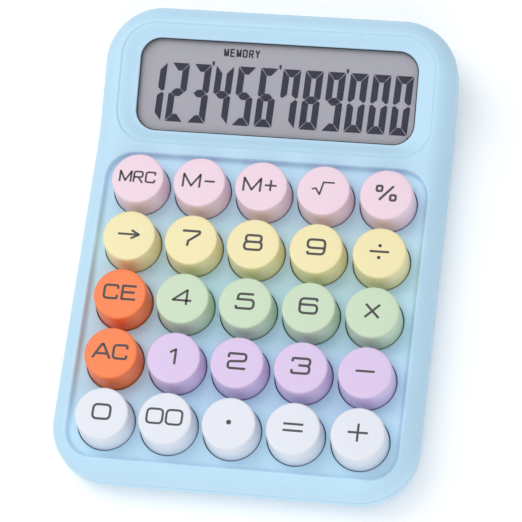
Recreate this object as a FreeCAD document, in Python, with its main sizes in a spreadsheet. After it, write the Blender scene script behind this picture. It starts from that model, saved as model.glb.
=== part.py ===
"""Desk calculator: a shallow keypad slab with a tilted display, twenty-five sprung round keys, a rubber
dome mat over a circuit board, a segment display behind a clear window, and one small cell behind a
sliding door in the rear foot. Millimetres, +Z up, +Y towards the display, origin under the middle."""
import FreeCAD, Part
import math
import os
import Sketcher

Vector = FreeCAD.Vector
document = FreeCAD.newDocument("desk_calculator")

# ---------------------------------------------------------------- driving dimensions
SIZES = {
    "case_width": 110.0, "case_length": 151.2, "case_corner": 17.5, "edge_round": 7.0, "foot_edge_round": 5.0,
    "wall": 2.0, "rim_height": 16.1, "slab_depth": 14.9, "parting_drop": 8.1, "parting_gap": 0.1,
    "bend_y": 35.4, "display_tilt": 16.0, "bend_radius": 40.0,
    "keypad_y": -21.1, "column_pitch": 19.0, "row_pitch": 18.87,
    "recess_half_width": 49.9, "recess_near": -49.4, "recess_far": 49.2, "recess_corner": 9.0,
    "recess_floor": 13.8, "recess_plate": 2.0,
    "key_hole_radius": 8.8, "key_base_radius": 8.5, "key_top_radius": 7.98, "key_height": 8.6,
    "key_edge_round": 0.6, "key_wall": 1.3, "key_crown": 1.6,
    "flange_radius": 9.1, "flange_thick": 1.0, "flange_gap": 0.1, "stem_radius": 2.4,
    "guide_width": 1.6, "guide_depth": 1.2, "guide_gap": 0.3, "guide_bottom": 7.95,
    "board_bottom": 5.4, "board_thick": 1.6, "board_half_width": 46.5, "board_near": -68.5, "board_far": 29.6,
    "board_corner": 11.0,
    "mat_thick": 0.8, "mat_half_width": 46.0, "mat_near": -67.8, "mat_far": 26.6, "mat_corner": 10.0,
    "dome_radius": 5.6, "dome_wall": 0.6, "dome_crown_radius": 2.6, "stem_gap": 0.1, "pill_radius": 1.7,
    "pill_thick": 0.4,
    "post_radius": 2.1, "pilot_radius": 1.02, "shank_radius": 1.0, "head_radius": 1.9, "head_thick": 1.3,
    "boss_radius": 3.1, "head_recess_radius": 2.25, "clear_radius": 1.25, "post_gap": 0.05,
    "ring_half_width": 49.2, "ring_near": -4.5, "ring_far": 34.2, "ring_corner": 10.5,
    "flare_depth": 1.5, "flare_rise": 1.2, "lip": 0.8,
    "window_half_width": 43.3, "window_near": 0.4, "window_far": 29.4, "window_corner": 6.5,
    "lens_margin": 1.1, "lens_thick": 1.0, "glue_thick": 0.15, "panel_gap": 0.1, "panel_thick": 2.4,
    "reflector_thick": 0.18, "frame_gap": 0.2, "frame_wall": 1.0, "frame_floor": 1.2,
    "hump_half_width": 40.0, "hump_near": 46.0, "hump_far": 71.0, "hump_corner": 7.0, "base_height": 1.2,
    "door_half_width": 25.6, "door_near": 52.4, "door_thick": 2.2, "door_gap": 0.3, "tongue": 1.5,
    "tongue_thick": 1.0, "rail_block": 3.5,
    "cell_radius": 5.2, "cell_length": 43.3, "cell_y": 60.0, "cell_nub_radius": 1.9, "cell_nub": 1.1,
    "cell_clear": 0.5, "cradle_wall": 1.2, "contact_thick": 0.3, "bay_half_length": 24.6,
    "foot_radius": 5.0, "foot_socket": 0.6, "foot_x": 38.0, "foot_near_y": -60.0, "foot_far_x": 33.6,
    "foot_far_y": 61.0, "foot_far_radius": 4.4,
    "lead_radius": 0.6, "lead_x": 26.4,
}
sheet = document.addObject("Spreadsheet::Sheet", "Sizes")
for row, (alias, size) in enumerate(SIZES.items(), start=1):
    sheet.set(f"A{row}", str(size))
    sheet.setAlias(f"A{row}", alias)
document.recompute()


def bound(text):
    """The expression with every driving dimension spelled as a cell of the sheet."""
    words = []
    word = ""
    for letter in text + " ":
        if letter.isalnum() or letter == "_":
            word += letter
            continue
        words.append("Sizes." + word if word in SIZES else word)
        words.append(letter)
        word = ""
    return "".join(words).strip()


def value(text):
    """The number that an expression over the driving dimensions comes to."""
    result = sheet.evalExpression(bound(str(text)))
    return float(getattr(result, "Value", result))


# Levels that many pieces share, each worked out from the driving dimensions.
KEY_TOP = "(recess_floor + key_height)"
PLATE_UNDER = "(recess_floor - recess_plate)"
FLANGE_TOP = f"({PLATE_UNDER} - flange_gap)"
FLANGE_UNDER = f"({FLANGE_TOP} - flange_thick)"
BOARD_TOP = "(board_bottom + board_thick)"
MAT_TOP = f"({BOARD_TOP} + mat_thick)"
CASE_END = "(case_length / 2)"
CASE_SIDE = "(case_width / 2)"
FLOOR_TOP = "(base_height + wall)"
LENS_TOP = "(flare_depth + lip + glue_thick)"
PANEL_TOP = f"({LENS_TOP} + lens_thick + panel_gap)"
REFLECTOR_TOP = f"({PANEL_TOP} + panel_thick)"
FRAME_FLOOR_TOP = f"({REFLECTOR_TOP} + reflector_thick + 0.02)"
CELL_HEIGHT = "(base_height + door_thick + cell_clear + cell_radius)"

COLUMNS = (-2, -1, 0, 1, 2)
ROWS = (2, 1, 0, -1, -2)
KEY_NAMES = (
    ("key_memory_recall", "key_memory_minus", "key_memory_plus", "key_square_root", "key_percent"),
    ("key_backspace", "key_7", "key_8", "key_9", "key_divide"),
    ("key_clear_entry", "key_4", "key_5", "key_6", "key_multiply"),
    ("key_all_clear", "key_1", "key_2", "key_3", "key_subtract"),
    ("key_0", "key_00", "key_point", "key_equals", "key_add"),
)
# Screws stand where four keys meet, in pitches from the middle of the keypad.
CASE_SCREW_CELLS = ((-1.5, -1.5), (1.5, -1.5), (-1.5, 1.5), (1.5, 1.5))
BOARD_SCREW_CELLS = ((-0.5, -1.5), (0.5, -1.5), (-1.5, 0.5), (1.5, 0.5), (-0.5, 1.5), (0.5, 1.5))
DISPLAY_SCREW_X = 48.3
DISPLAY_SCREW_ROWS = (40.0, 62.0)
FRAME_SCREW_X = 30.0


def cell_point(cell):
    """Expressions for the x and y of a screw that stands between the keys."""
    return f"{cell[0]} * column_pitch", f"keypad_y + {cell[1]} * row_pitch"


# ---------------------------------------------------------------- sketch and feature helpers
parts = []


def new_body(name):
    """A body that becomes a sub-part of its own."""
    body = document.addObject("PartDesign::Body", name)
    body.Label = name
    parts.append(body)
    return body


def new_tool(name):
    """A body used only to shape another one."""
    return document.addObject("PartDesign::Body", name)


def plane_of(body, role):
    return next(item for item in body.Origin.OriginFeatures if item.Role == role)


def new_sketch(body, role="XY_Plane", height="0", tilted=False):
    """A sketch on one of the body's planes, raised to a height or laid a depth under the display plane."""
    sketch = body.newObject("Sketcher::SketchObject", body.Name + "_sketch")
    sketch.AttachmentSupport = (plane_of(body, role), [""])
    sketch.MapMode = "FlatFace"
    if tilted:
        tilt = FreeCAD.Rotation(Vector(1, 0, 0), value("display_tilt"))
        sketch.AttachmentOffset = FreeCAD.Placement(Vector(), tilt)
        sketch.setExpression("AttachmentOffset.Rotation.Angle", bound("display_tilt"))
        sketch.setExpression("AttachmentOffset.Base.y", bound(f"bend_y + ({height}) * sin(display_tilt)"))
        sketch.setExpression("AttachmentOffset.Base.z", bound(f"rim_height - ({height}) * cos(display_tilt)"))
    else:
        sketch.setExpression("AttachmentOffset.Base.z", bound(height))
    return sketch


def drive(sketch, kind, places, text):
    """One dimension of the sketch, bound to an expression over the driving dimensions."""
    index = sketch.addConstraint(Sketcher.Constraint(kind, *places, value(text)))
    sketch.setExpression(f"Constraints[{index}]", bound(text))


def circle(sketch, x, y, radius):
    ring = sketch.addGeometry(Part.Circle(Vector(value(x), value(y), 0), Vector(0, 0, 1), value(radius)))
    drive(sketch, "Radius", (ring,), radius)
    drive(sketch, "DistanceX", (-1, 1, ring, 3), x)
    drive(sketch, "DistanceY", (-1, 1, ring, 3), y)


def polygon(sketch, points):
    """Closed straight-sided outline; every corner is a pair of expressions."""
    spots = [Vector(value(x), value(y), 0) for x, y in points]
    lines = [sketch.addGeometry(Part.LineSegment(a, b)) for a, b in zip(spots, spots[1:] + spots[:1])]
    for line, following in zip(lines, lines[1:] + lines[:1]):
        sketch.addConstraint(Sketcher.Constraint("Coincident", line, 2, following, 1))
    for line, (x, y) in zip(lines, points):
        drive(sketch, "DistanceX", (-1, 1, line, 1), x)
        drive(sketch, "DistanceY", (-1, 1, line, 1), y)


def rounded_rectangle(sketch, left, right, near, far, corner):
    """Four sides and four tangent corner arcs; every argument is an expression."""
    x0, x1, y0, y1, r = (value(text) for text in (left, right, near, far, corner))
    quarter = math.pi / 2
    sides = (
        ((x0 + r, y0), (x1 - r, y0)), ((x1, y0 + r), (x1, y1 - r)),
        ((x1 - r, y1), (x0 + r, y1)), ((x0, y1 - r), (x0, y0 + r)),
    )
    centres = ((x1 - r, y0 + r), (x1 - r, y1 - r), (x0 + r, y1 - r), (x0 + r, y0 + r))
    lines = []
    arcs = []
    for turn, ((start, end), centre) in enumerate(zip(sides, centres)):
        lines.append(sketch.addGeometry(Part.LineSegment(Vector(*start, 0), Vector(*end, 0))))
        round_corner = Part.Circle(Vector(*centre, 0), Vector(0, 0, 1), r)
        arcs.append(sketch.addGeometry(Part.ArcOfCircle(round_corner, (turn - 1) * quarter, turn * quarter)))
    for turn in range(4):
        sketch.addConstraint(Sketcher.Constraint("Tangent", lines[turn], 2, arcs[turn], 1))
        sketch.addConstraint(Sketcher.Constraint("Tangent", arcs[turn], 2, lines[(turn + 1) % 4], 1))
    for arc in arcs[1:]:
        sketch.addConstraint(Sketcher.Constraint("Equal", arcs[0], arc))
    sketch.addConstraint(Sketcher.Constraint("Horizontal", lines[0]))
    sketch.addConstraint(Sketcher.Constraint("Horizontal", lines[2]))
    sketch.addConstraint(Sketcher.Constraint("Vertical", lines[1]))
    sketch.addConstraint(Sketcher.Constraint("Vertical", lines[3]))
    drive(sketch, "Radius", (arcs[0],), corner)
    drive(sketch, "DistanceY", (-1, 1, lines[0], 1), near)
    drive(sketch, "DistanceX", (-1, 1, lines[1], 1), right)
    drive(sketch, "DistanceY", (-1, 1, lines[2], 1), far)
    drive(sketch, "DistanceX", (-1, 1, lines[3], 1), left)


def pad(body, sketch, length, reversed_way=False, symmetric=False):
    feature = body.newObject("PartDesign::Pad", body.Name + "_pad")
    feature.Profile = sketch
    feature.Reversed = reversed_way
    feature.SideType = "Symmetric" if symmetric else "One side"
    feature.setExpression("Length", bound(length))
    document.recompute()
    return feature


def pocket(body, sketch, length, reversed_way=False, symmetric=False):
    """Cut away from the sketch against its normal, or along it when reversed; it must remove material."""
    before = body.Shape.Volume
    feature = body.newObject("PartDesign::Pocket", body.Name + "_pocket")
    feature.Profile = sketch
    feature.Reversed = reversed_way
    feature.SideType = "Symmetric" if symmetric else "One side"
    feature.setExpression("Length", bound(length))
    document.recompute()
    if body.Shape.Volume > before - 1e-3:
        raise RuntimeError(feature.Name + " removes nothing")
    return feature


def fillet(body, base, edges, radius):
    feature = body.newObject("PartDesign::Fillet", body.Name + "_fillet")
    feature.Base = (base, edges)
    feature.setExpression("Radius", bound(radius))
    document.recompute()
    return feature


def is_circle(edge):
    """Whether an edge runs round a circle."""
    return edge.Curve.TypeId == "Part::GeomCircle"


def edges_where(feature, test):
    """Names of the feature's edges whose middle point passes the test."""
    names = []
    for number, edge in enumerate(feature.Shape.Edges, start=1):
        middle = edge.valueAt((edge.FirstParameter + edge.LastParameter) / 2)
        if test(middle, edge):
            names.append(f"Edge{number}")
    return names


def revolve(body, sketch):
    feature = body.newObject("PartDesign::Revolution", body.Name + "_revolution")
    feature.Profile = sketch
    feature.ReferenceAxis = (sketch, ["V_Axis"])
    feature.Angle = 360
    document.recompute()
    return feature


def hollow_with(body, tool):
    feature = body.newObject("PartDesign::Boolean", body.Name + "_boolean")
    feature.setObjects([tool])
    feature.Type = "Cut"
    document.recompute()
    return feature


# ---------------------------------------------------------------- the bent slab that both shells share
def slab_line(y, drop):
    """Height of the top surface at y, lowered square to itself by drop, away from the soft bend."""
    tilt = math.radians(value("display_tilt"))
    if y < value("bend_y"):
        return value("rim_height") - drop
    return value("rim_height") + (y - value("bend_y")) * math.tan(tilt) - drop / math.cos(tilt)


def side_profile(sketch, drop, level, radius):
    """Outline in the Y-Z plane between the bent line a drop under the top surface and a flat level."""
    reach = f"({CASE_END} + 5)"
    bend_shift = f"(bend_y + ({drop}) * tan(display_tilt / 2))"
    far_height = f"(rim_height - ({drop}) + ({reach} - {bend_shift}) * tan(display_tilt))"
    tangent = f"(({radius}) * tan(display_tilt / 2))"
    near_y = value(f"-{reach}")
    far_y = value(reach)
    bend_y = value(bend_shift)
    line_z = value(f"rim_height - ({drop})")
    far_z = value(far_height)
    level_z = value(level)
    tilt = math.radians(value("display_tilt"))
    length = value(tangent)
    arc_start = Vector(bend_y - length, line_z, 0)
    arc_end = Vector(bend_y + length * math.cos(tilt), line_z + length * math.sin(tilt), 0)
    centre = Vector(arc_start.x, line_z + value(radius), 0)
    circle_of_bend = Part.Circle(centre, Vector(0, 0, 1), value(radius))
    bend = Part.ArcOfCircle(circle_of_bend, -math.pi / 2, -math.pi / 2 + tilt)
    flat = sketch.addGeometry(Part.LineSegment(Vector(near_y, line_z, 0), arc_start))
    arc = sketch.addGeometry(bend)
    rise = sketch.addGeometry(Part.LineSegment(arc_end, Vector(far_y, far_z, 0)))
    far = sketch.addGeometry(Part.LineSegment(Vector(far_y, far_z, 0), Vector(far_y, level_z, 0)))
    base = sketch.addGeometry(Part.LineSegment(Vector(far_y, level_z, 0), Vector(near_y, level_z, 0)))
    near = sketch.addGeometry(Part.LineSegment(Vector(near_y, level_z, 0), Vector(near_y, line_z, 0)))
    sketch.addConstraint(Sketcher.Constraint("Tangent", flat, 2, arc, 1))
    sketch.addConstraint(Sketcher.Constraint("Tangent", arc, 2, rise, 1))
    for one, other in ((rise, far), (far, base), (base, near), (near, flat)):
        sketch.addConstraint(Sketcher.Constraint("Coincident", one, 2, other, 1))
    for line in (flat, base):
        sketch.addConstraint(Sketcher.Constraint("Horizontal", line))
    for line in (far, near):
        sketch.addConstraint(Sketcher.Constraint("Vertical", line))
    drive(sketch, "Radius", (arc,), radius)
    drive(sketch, "DistanceX", (-1, 1, near, 1), f"-{reach}")
    drive(sketch, "DistanceY", (-1, 1, near, 2), f"rim_height - ({drop})")
    drive(sketch, "DistanceY", (-1, 1, base, 1), level)
    drive(sketch, "DistanceX", (-1, 1, rise, 2), reach)
    drive(sketch, "DistanceY", (-1, 1, rise, 2), far_height)
    drive(sketch, "DistanceX", (-1, 1, flat, 2), f"{bend_shift} - {tangent}")


def case_outline(sketch, inset):
    rounded_rectangle(sketch, f"-({CASE_SIDE} - ({inset}))", f"{CASE_SIDE} - ({inset})",
                      f"-({CASE_END} - ({inset}))", f"{CASE_END} - ({inset})", f"case_corner - ({inset})")


def slab(body, inset, top_drop, bottom_drop, top_radius, bottom_radius):
    """Case outline cut to the bent layer between two drops, with one of its two rims rounded."""
    plan = new_sketch(body)
    case_outline(plan, inset)
    blank = pad(body, plan, "40")
    above = new_sketch(body, "YZ_Plane")
    side_profile(above, top_drop, "60", f"bend_radius + ({top_drop})")
    blank = pocket(body, above, "200", symmetric=True)
    below = new_sketch(body, "YZ_Plane")
    side_profile(below, bottom_drop, "-20", f"bend_radius + ({bottom_drop})")
    blank = pocket(body, below, "200", symmetric=True)
    outer = value(f"{CASE_SIDE} - ({inset})")
    for drop, radius in ((top_drop, top_radius), (bottom_drop, bottom_radius)):
        if radius is None:
            continue
        level = value(drop)

        def on_rim(middle, edge, level=level):
            soft_bend = abs(middle.y - value("bend_y")) < 12
            reach = abs(middle.z - slab_line(middle.y, level))
            flat_across = abs(middle.x) < outer - 0.5 and edge.Curve.TypeId == "Part::GeomLine"
            across = flat_across and abs(abs(middle.y) - value(f"{CASE_END} - ({inset})")) > 0.5
            return reach < (1.5 if soft_bend else 0.3) and not across

        blank = fillet(body, blank, edges_where(blank, on_rim), radius)
    return blank


# ---------------------------------------------------------------- front housing
def make_front_housing():
    """Moulded top shell: soft rim, sunk keypad floor with holes, flared display frame, posts and guides."""
    body = new_body("front_housing")
    slab(body, "0", "0", "parting_drop", "edge_round", None)
    cavity = new_tool("front_cavity")
    slab(cavity, "wall", "wall", "parting_drop + 2", "edge_round - wall", None)
    hollow_with(body, cavity)

    plate = new_sketch(body, height=PLATE_UNDER)
    rounded_rectangle(plate, "-(recess_half_width + wall)", "recess_half_width + wall",
                      "keypad_y + recess_near - wall", "keypad_y + recess_far + wall", "recess_corner + wall")
    pad(body, plate, f"rim_height - wall + 0.3 - {PLATE_UNDER}")
    recess = new_sketch(body, height="rim_height + 1")
    rounded_rectangle(recess, "-recess_half_width", "recess_half_width",
                      "keypad_y + recess_near", "keypad_y + recess_far", "recess_corner")
    pocket(body, recess, "rim_height + 1 - recess_floor")

    bezel = new_sketch(body, height="flare_depth + lip", tilted=True)
    rounded_rectangle(bezel, "-(ring_half_width + 0.6)", "ring_half_width + 0.6",
                      "ring_near - 1.5", "ring_far + 0.8", "ring_corner + 1.5")
    pad(body, bezel, "flare_depth + lip - 1")
    rise = "flare_rise / flare_depth"
    mouth = new_sketch(body, height="-flare_rise", tilted=True)
    rounded_rectangle(mouth,
                      f"-(ring_half_width + (ring_half_width - window_half_width) * {rise})",
                      f"ring_half_width + (ring_half_width - window_half_width) * {rise}",
                      "ring_near",
                      f"ring_far + (ring_far - window_far) * {rise}",
                      f"ring_corner + (ring_corner - window_corner) * {rise}")
    throat = new_sketch(body, height="flare_depth", tilted=True)
    rounded_rectangle(throat, "-window_half_width", "window_half_width", "window_near", "window_far",
                      "window_corner")
    flare = body.newObject("PartDesign::SubtractiveLoft", "display_flare")
    flare.Profile = mouth
    flare.Sections = [throat]
    flare.Ruled = True
    document.recompute()
    opening = new_sketch(body, height="flare_depth - 0.5", tilted=True)
    rounded_rectangle(opening, "-window_half_width", "window_half_width", "window_near", "window_far",
                      "window_corner")
    pocket(body, opening, "lip + 2")

    hole = new_sketch(body, height="rim_height")
    circle(hole, "-2 * column_pitch", "keypad_y - 2 * row_pitch", "key_hole_radius")
    holes = pocket(body, hole, "rim_height")
    repeat_grid(body, holes, 5, 5)

    rib = new_sketch(body, height=PLATE_UNDER)
    rounded_rectangle(rib, "-2.5 * column_pitch - guide_depth / 2", "-2.5 * column_pitch + guide_depth / 2",
                      "keypad_y - 2 * row_pitch - guide_width / 2",
                      "keypad_y - 2 * row_pitch + guide_width / 2",
                      "0.3")
    ribs = pad(body, rib, f"{PLATE_UNDER} - guide_bottom", reversed_way=True)
    repeat_grid(body, ribs, 6, 5)

    post = new_sketch(body, height=PLATE_UNDER)
    pilot = new_sketch(body, height=f"{BOARD_TOP} - 1")
    for cell in CASE_SCREW_CELLS + BOARD_SCREW_CELLS:
        circle(post, *cell_point(cell), "post_radius")
        circle(pilot, *cell_point(cell), "pilot_radius")
    pad(body, post, f"{PLATE_UNDER} - {BOARD_TOP} - post_gap", reversed_way=True)
    pocket(body, pilot, f"{PLATE_UNDER} - {BOARD_TOP} + 1.6", reversed_way=True)

    for y in DISPLAY_SCREW_ROWS:
        foot = value(f"rim_height - parting_drop + ({y} - bend_y) * tan(display_tilt)")
        under_skin = value(f"rim_height + ({y} - bend_y) * tan(display_tilt) - wall / cos(display_tilt)")
        boss = new_sketch(body, height=str(foot))
        bore = new_sketch(body, height=str(foot - 1))
        for side in (-1, 1):
            circle(boss, f"{side * DISPLAY_SCREW_X}", str(y), "post_radius + 0.3")
            circle(bore, f"{side * DISPLAY_SCREW_X}", str(y), "pilot_radius")
        pad(body, boss, str(under_skin - foot + 0.4))
        pocket(body, bore, str(under_skin - foot), reversed_way=True)

    studs = new_sketch(body, height="wall - 0.3", tilted=True)
    stud_pilots = new_sketch(body, height="8", tilted=True)
    for x, y in frame_screw_points():
        circle(studs, x, y, "post_radius - 0.2")
        circle(stud_pilots, x, y, "pilot_radius")
    pad(body, studs, f"{FRAME_EAR_TOP} - wall + 0.3 - post_gap", reversed_way=True)
    pocket(body, stud_pilots, "8 - flare_depth - lip - 0.4", reversed_way=True)
    return body


FRAME_EAR_TOP = f"({REFLECTOR_TOP} - 1)"
FRAME_NEAR = "(window_near - lens_margin - frame_gap - frame_wall)"
FRAME_FAR = "(window_far + lens_margin + frame_gap + frame_wall)"


def frame_screw_points():
    """Places of the four display-frame screws in the display plane."""
    levels = (f"{FRAME_NEAR} - 1.9", f"{FRAME_FAR} + 1.9")
    return [(f"{side * FRAME_SCREW_X}", y) for side in (-1, 1) for y in levels]


def repeat_grid(body, feature, columns, rows):
    """The feature repeated over the keypad's columns and rows."""
    pattern = body.newObject("PartDesign::LinearPattern", body.Name + "_grid")
    pattern.Originals = [feature]
    pattern.Direction = (plane_of(body, "X_Axis"), [""])
    pattern.Direction2 = (plane_of(body, "Y_Axis"), [""])
    pattern.Occurrences = columns
    pattern.Occurrences2 = rows
    pattern.setExpression("Length", bound(f"{columns - 1} * column_pitch"))
    pattern.setExpression("Length2", bound(f"{rows - 1} * row_pitch"))
    body.Tip = pattern
    document.recompute()
    return pattern


# ---------------------------------------------------------------- back housing and door
def make_back_housing():
    """Moulded bottom shell with the rear foot that holds the cell, screw bosses, rails and foot sockets."""
    body = new_body("back_housing")
    slab(body, "0", "parting_drop + parting_gap", "slab_depth", None, "foot_edge_round")
    hump = new_sketch(body, height="base_height")
    rounded_rectangle(hump, "-hump_half_width", "hump_half_width", "hump_near", "hump_far", "hump_corner")
    pad(body, hump, "9")
    cavity = new_tool("back_cavity")
    slab(cavity, "wall", "parting_drop - 1", "slab_depth - wall", None, "foot_edge_round - wall")
    hump_room = new_sketch(cavity, height=FLOOR_TOP)
    rounded_rectangle(hump_room, "-(hump_half_width - wall)", "hump_half_width - wall",
                      "hump_near + wall", "hump_far - wall", "hump_corner - wall")
    pad(cavity, hump_room, "10")
    hollow_with(body, cavity)

    rails = new_sketch(body, height="base_height")
    for side in (-1, 1):
        inner = "(door_half_width - 1)"
        outer = "(door_half_width + tongue + door_gap + 1.4)"
        left, right = (f"-{outer}", f"-{inner}") if side < 0 else (inner, outer)
        polygon(rails, ((left, "hump_near + 1"), (right, "hump_near + 1"),
                        (right, "hump_far - 1"), (left, "hump_far - 1")))
    pad(body, rails, "rail_block")
    doorway = new_sketch(body, height="base_height - 1")
    polygon(doorway, (("-(door_half_width + door_gap)", "door_near - door_gap"),
                      ("door_half_width + door_gap", "door_near - door_gap"),
                      ("door_half_width + door_gap", "hump_far + 5"),
                      ("-(door_half_width + door_gap)", "hump_far + 5")))
    pocket(body, doorway, "1 + door_thick + door_gap", reversed_way=True)
    grooves = new_sketch(body, height="base_height + door_thick - tongue_thick - door_gap")
    reach = "(door_half_width + tongue + door_gap)"
    polygon(grooves, ((f"-{reach}", "door_near - door_gap"), (reach, "door_near - door_gap"),
                      (reach, "hump_far + 5"), (f"-{reach}", "hump_far + 5")))
    pocket(body, grooves, "tongue_thick + 2 * door_gap", reversed_way=True)

    bosses = new_sketch(body, height="base_height + 0.5")
    recesses = new_sketch(body, height="base_height - 1")
    bores = new_sketch(body, height="base_height - 1")
    for cell in CASE_SCREW_CELLS:
        circle(bosses, *cell_point(cell), "boss_radius")
        circle(recesses, *cell_point(cell), "head_recess_radius")
        circle(bores, *cell_point(cell), "clear_radius")
    pad(body, bosses, "board_bottom - base_height - 0.5 - post_gap")
    pocket(body, recesses, "board_bottom - base_height + 1 - 1.8", reversed_way=True)
    pocket(body, bores, "board_bottom", reversed_way=True)

    for y in DISPLAY_SCREW_ROWS:
        level = display_screw_levels(y)
        boss = new_sketch(body, height=str(level["floor"] + 0.8))
        recess = new_sketch(body, height="0")
        bore = new_sketch(body, height="0")
        for side in (-1, 1):
            circle(boss, f"{side * DISPLAY_SCREW_X}", str(y), "boss_radius")
            circle(recess, f"{side * DISPLAY_SCREW_X}", str(y), "head_recess_radius")
            circle(bore, f"{side * DISPLAY_SCREW_X}", str(y), "clear_radius")
        pad(body, boss, str(level["boss_top"] - level["floor"] - 0.8))
        pocket(body, recess, str(level["seat"]), reversed_way=True)
        pocket(body, bore, "30", reversed_way=True)

    cradle = new_sketch(body, height="base_height + rail_block - 0.2")
    inner = "bay_half_length"
    outer = "(bay_half_length + cradle_wall)"
    for left, right in ((f"-{outer}", f"-{inner}"), (inner, outer)):
        polygon(cradle, ((left, "cell_y - cell_radius - 0.6"), (right, "cell_y - cell_radius - 0.6"),
                         (right, "cell_y + cell_radius + 0.6"), (left, "cell_y + cell_radius + 0.6")))
    pad(body, cradle, f"{CELL_HEIGHT} + 2.6 - base_height - rail_block + 0.2")

    sockets = new_sketch(body, height="base_height - 1")
    for side in (-1, 1):
        circle(sockets, f"{side} * foot_x", "foot_near_y", "foot_radius + 0.1")
        circle(sockets, f"{side} * foot_far_x", "foot_far_y", "foot_far_radius + 0.1")
    pocket(body, sockets, "1 + foot_socket", reversed_way=True)
    return body


def display_screw_levels(y):
    """Heights along one of the screws beside the display, where both shells slope."""
    slope = f"({y} - bend_y) * tan(display_tilt)"
    floor = value(f"rim_height - (slab_depth - wall) / cos(display_tilt) + {slope}")
    parting = value(f"rim_height - parting_drop + {slope}")
    seat = floor + 0.9
    return {"floor": floor, "seat": seat, "boss_top": parting - 0.9}


def make_battery_door():
    """Flat door with a tongue along each side, a grip step at its free end and a small latch bump."""
    body = new_body("battery_door")
    panel = new_sketch(body, height="base_height")
    polygon(panel, (("-door_half_width", "door_near"), ("door_half_width", "door_near"),
                    ("door_half_width", "hump_far"), ("-door_half_width", "hump_far")))
    pad(body, panel, "door_thick")
    tongues = new_sketch(body, height="base_height + door_thick - tongue_thick")
    reach = "(door_half_width + tongue)"
    polygon(tongues, ((f"-{reach}", "door_near"), (reach, "door_near"),
                      (reach, "hump_far - 0.4"), (f"-{reach}", "hump_far - 0.4")))
    pad(body, tongues, "tongue_thick")
    ridges = new_sketch(body, height="base_height")
    for ridge in range(5):
        y = f"(hump_far - 3 - {ridge} * 1.4)"
        near, far = f"{y} - 0.35", f"{y} + 0.35"
        polygon(ridges, (("-7", near), ("7", near), ("7", far), ("-7", far)))
    pocket(body, ridges, "0.4", reversed_way=True)
    return body


# ---------------------------------------------------------------- keys
def make_key(name, column, row):
    """One moulded key: tapered cup with a soft top edge, inner plunger, holding flange and guide notches."""
    body = new_body(name)
    profile = new_sketch(body, "XZ_Plane")
    skirt_radius = "key_base_radius"
    inner_base = "key_base_radius - key_wall"
    inner_top = "key_top_radius - key_wall - 0.1"
    polygon(profile, (
        ("0", FLANGE_UNDER), ("stem_radius", FLANGE_UNDER), ("stem_radius", f"{KEY_TOP} - key_crown"),
        (inner_top, f"{KEY_TOP} - key_crown"), (inner_base, FLANGE_UNDER), ("flange_radius", FLANGE_UNDER),
        ("flange_radius", FLANGE_TOP), (skirt_radius, FLANGE_TOP), (skirt_radius, "recess_floor"),
        ("key_top_radius", KEY_TOP), ("0", KEY_TOP),
    ))
    cup = revolve(body, profile)
    top = value(KEY_TOP)
    rim = edges_where(cup, lambda middle, edge: abs(middle.z - top) < 1e-3 and is_circle(edge))
    fillet(body, cup, rim, "key_edge_round")
    notches = new_sketch(body, height=f"{FLANGE_UNDER} - 1")
    half = "(guide_width / 2 + guide_gap)"
    inner = "(column_pitch / 2 - guide_depth / 2 - guide_gap)"
    for left, right in (("-10", f"-{inner}"), (inner, "10")):
        polygon(notches, ((left, f"-{half}"), (right, f"-{half}"), (right, half), (left, half)))
    pocket(body, notches, "2.5 + flange_thick", reversed_way=True)
    body.setExpression("Placement.Base.x", bound(f"{column} * column_pitch"))
    body.setExpression("Placement.Base.y", bound(f"keypad_y + {row} * row_pitch"))
    return body




# ---------------------------------------------------------------- display stack
def display_layer(name, top, thickness, half_width, near, far, corner):
    """Flat sheet that lies parallel to the display plane, its upper face a depth below it."""
    body = new_body(name)
    outline = new_sketch(body, height=f"({top}) + ({thickness})", tilted=True)
    rounded_rectangle(outline, f"-({half_width})", half_width, near, far, corner)
    pad(body, outline, thickness)
    return body


def make_display_stack():
    lens = ("window_half_width + lens_margin", "window_near - lens_margin", "window_far + lens_margin")
    glue = display_layer("window_adhesive", "flare_depth + lip + 0.01", "glue_thick - 0.02", *lens, "1.5")
    opening = new_sketch(glue, height="0", tilted=True)
    rounded_rectangle(opening, "-window_half_width - 0.01", "window_half_width + 0.01", "window_near - 0.01",
                      "window_far + 0.01", "window_corner")
    pocket(glue, opening, "5")
    display_layer("display_window", LENS_TOP, "lens_thick", *lens, "1.5")
    display_layer("lcd_panel", PANEL_TOP, "panel_thick", "window_half_width + lens_margin - 0.2",
                  "window_near - lens_margin + 0.4", "window_far + lens_margin - 0.2", "0.4")
    display_layer("lcd_reflector", f"{REFLECTOR_TOP} + 0.01", "reflector_thick", "window_half_width + 0.4",
                  "window_near + 2.2", "window_far + 0.6", "0.4")


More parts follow.
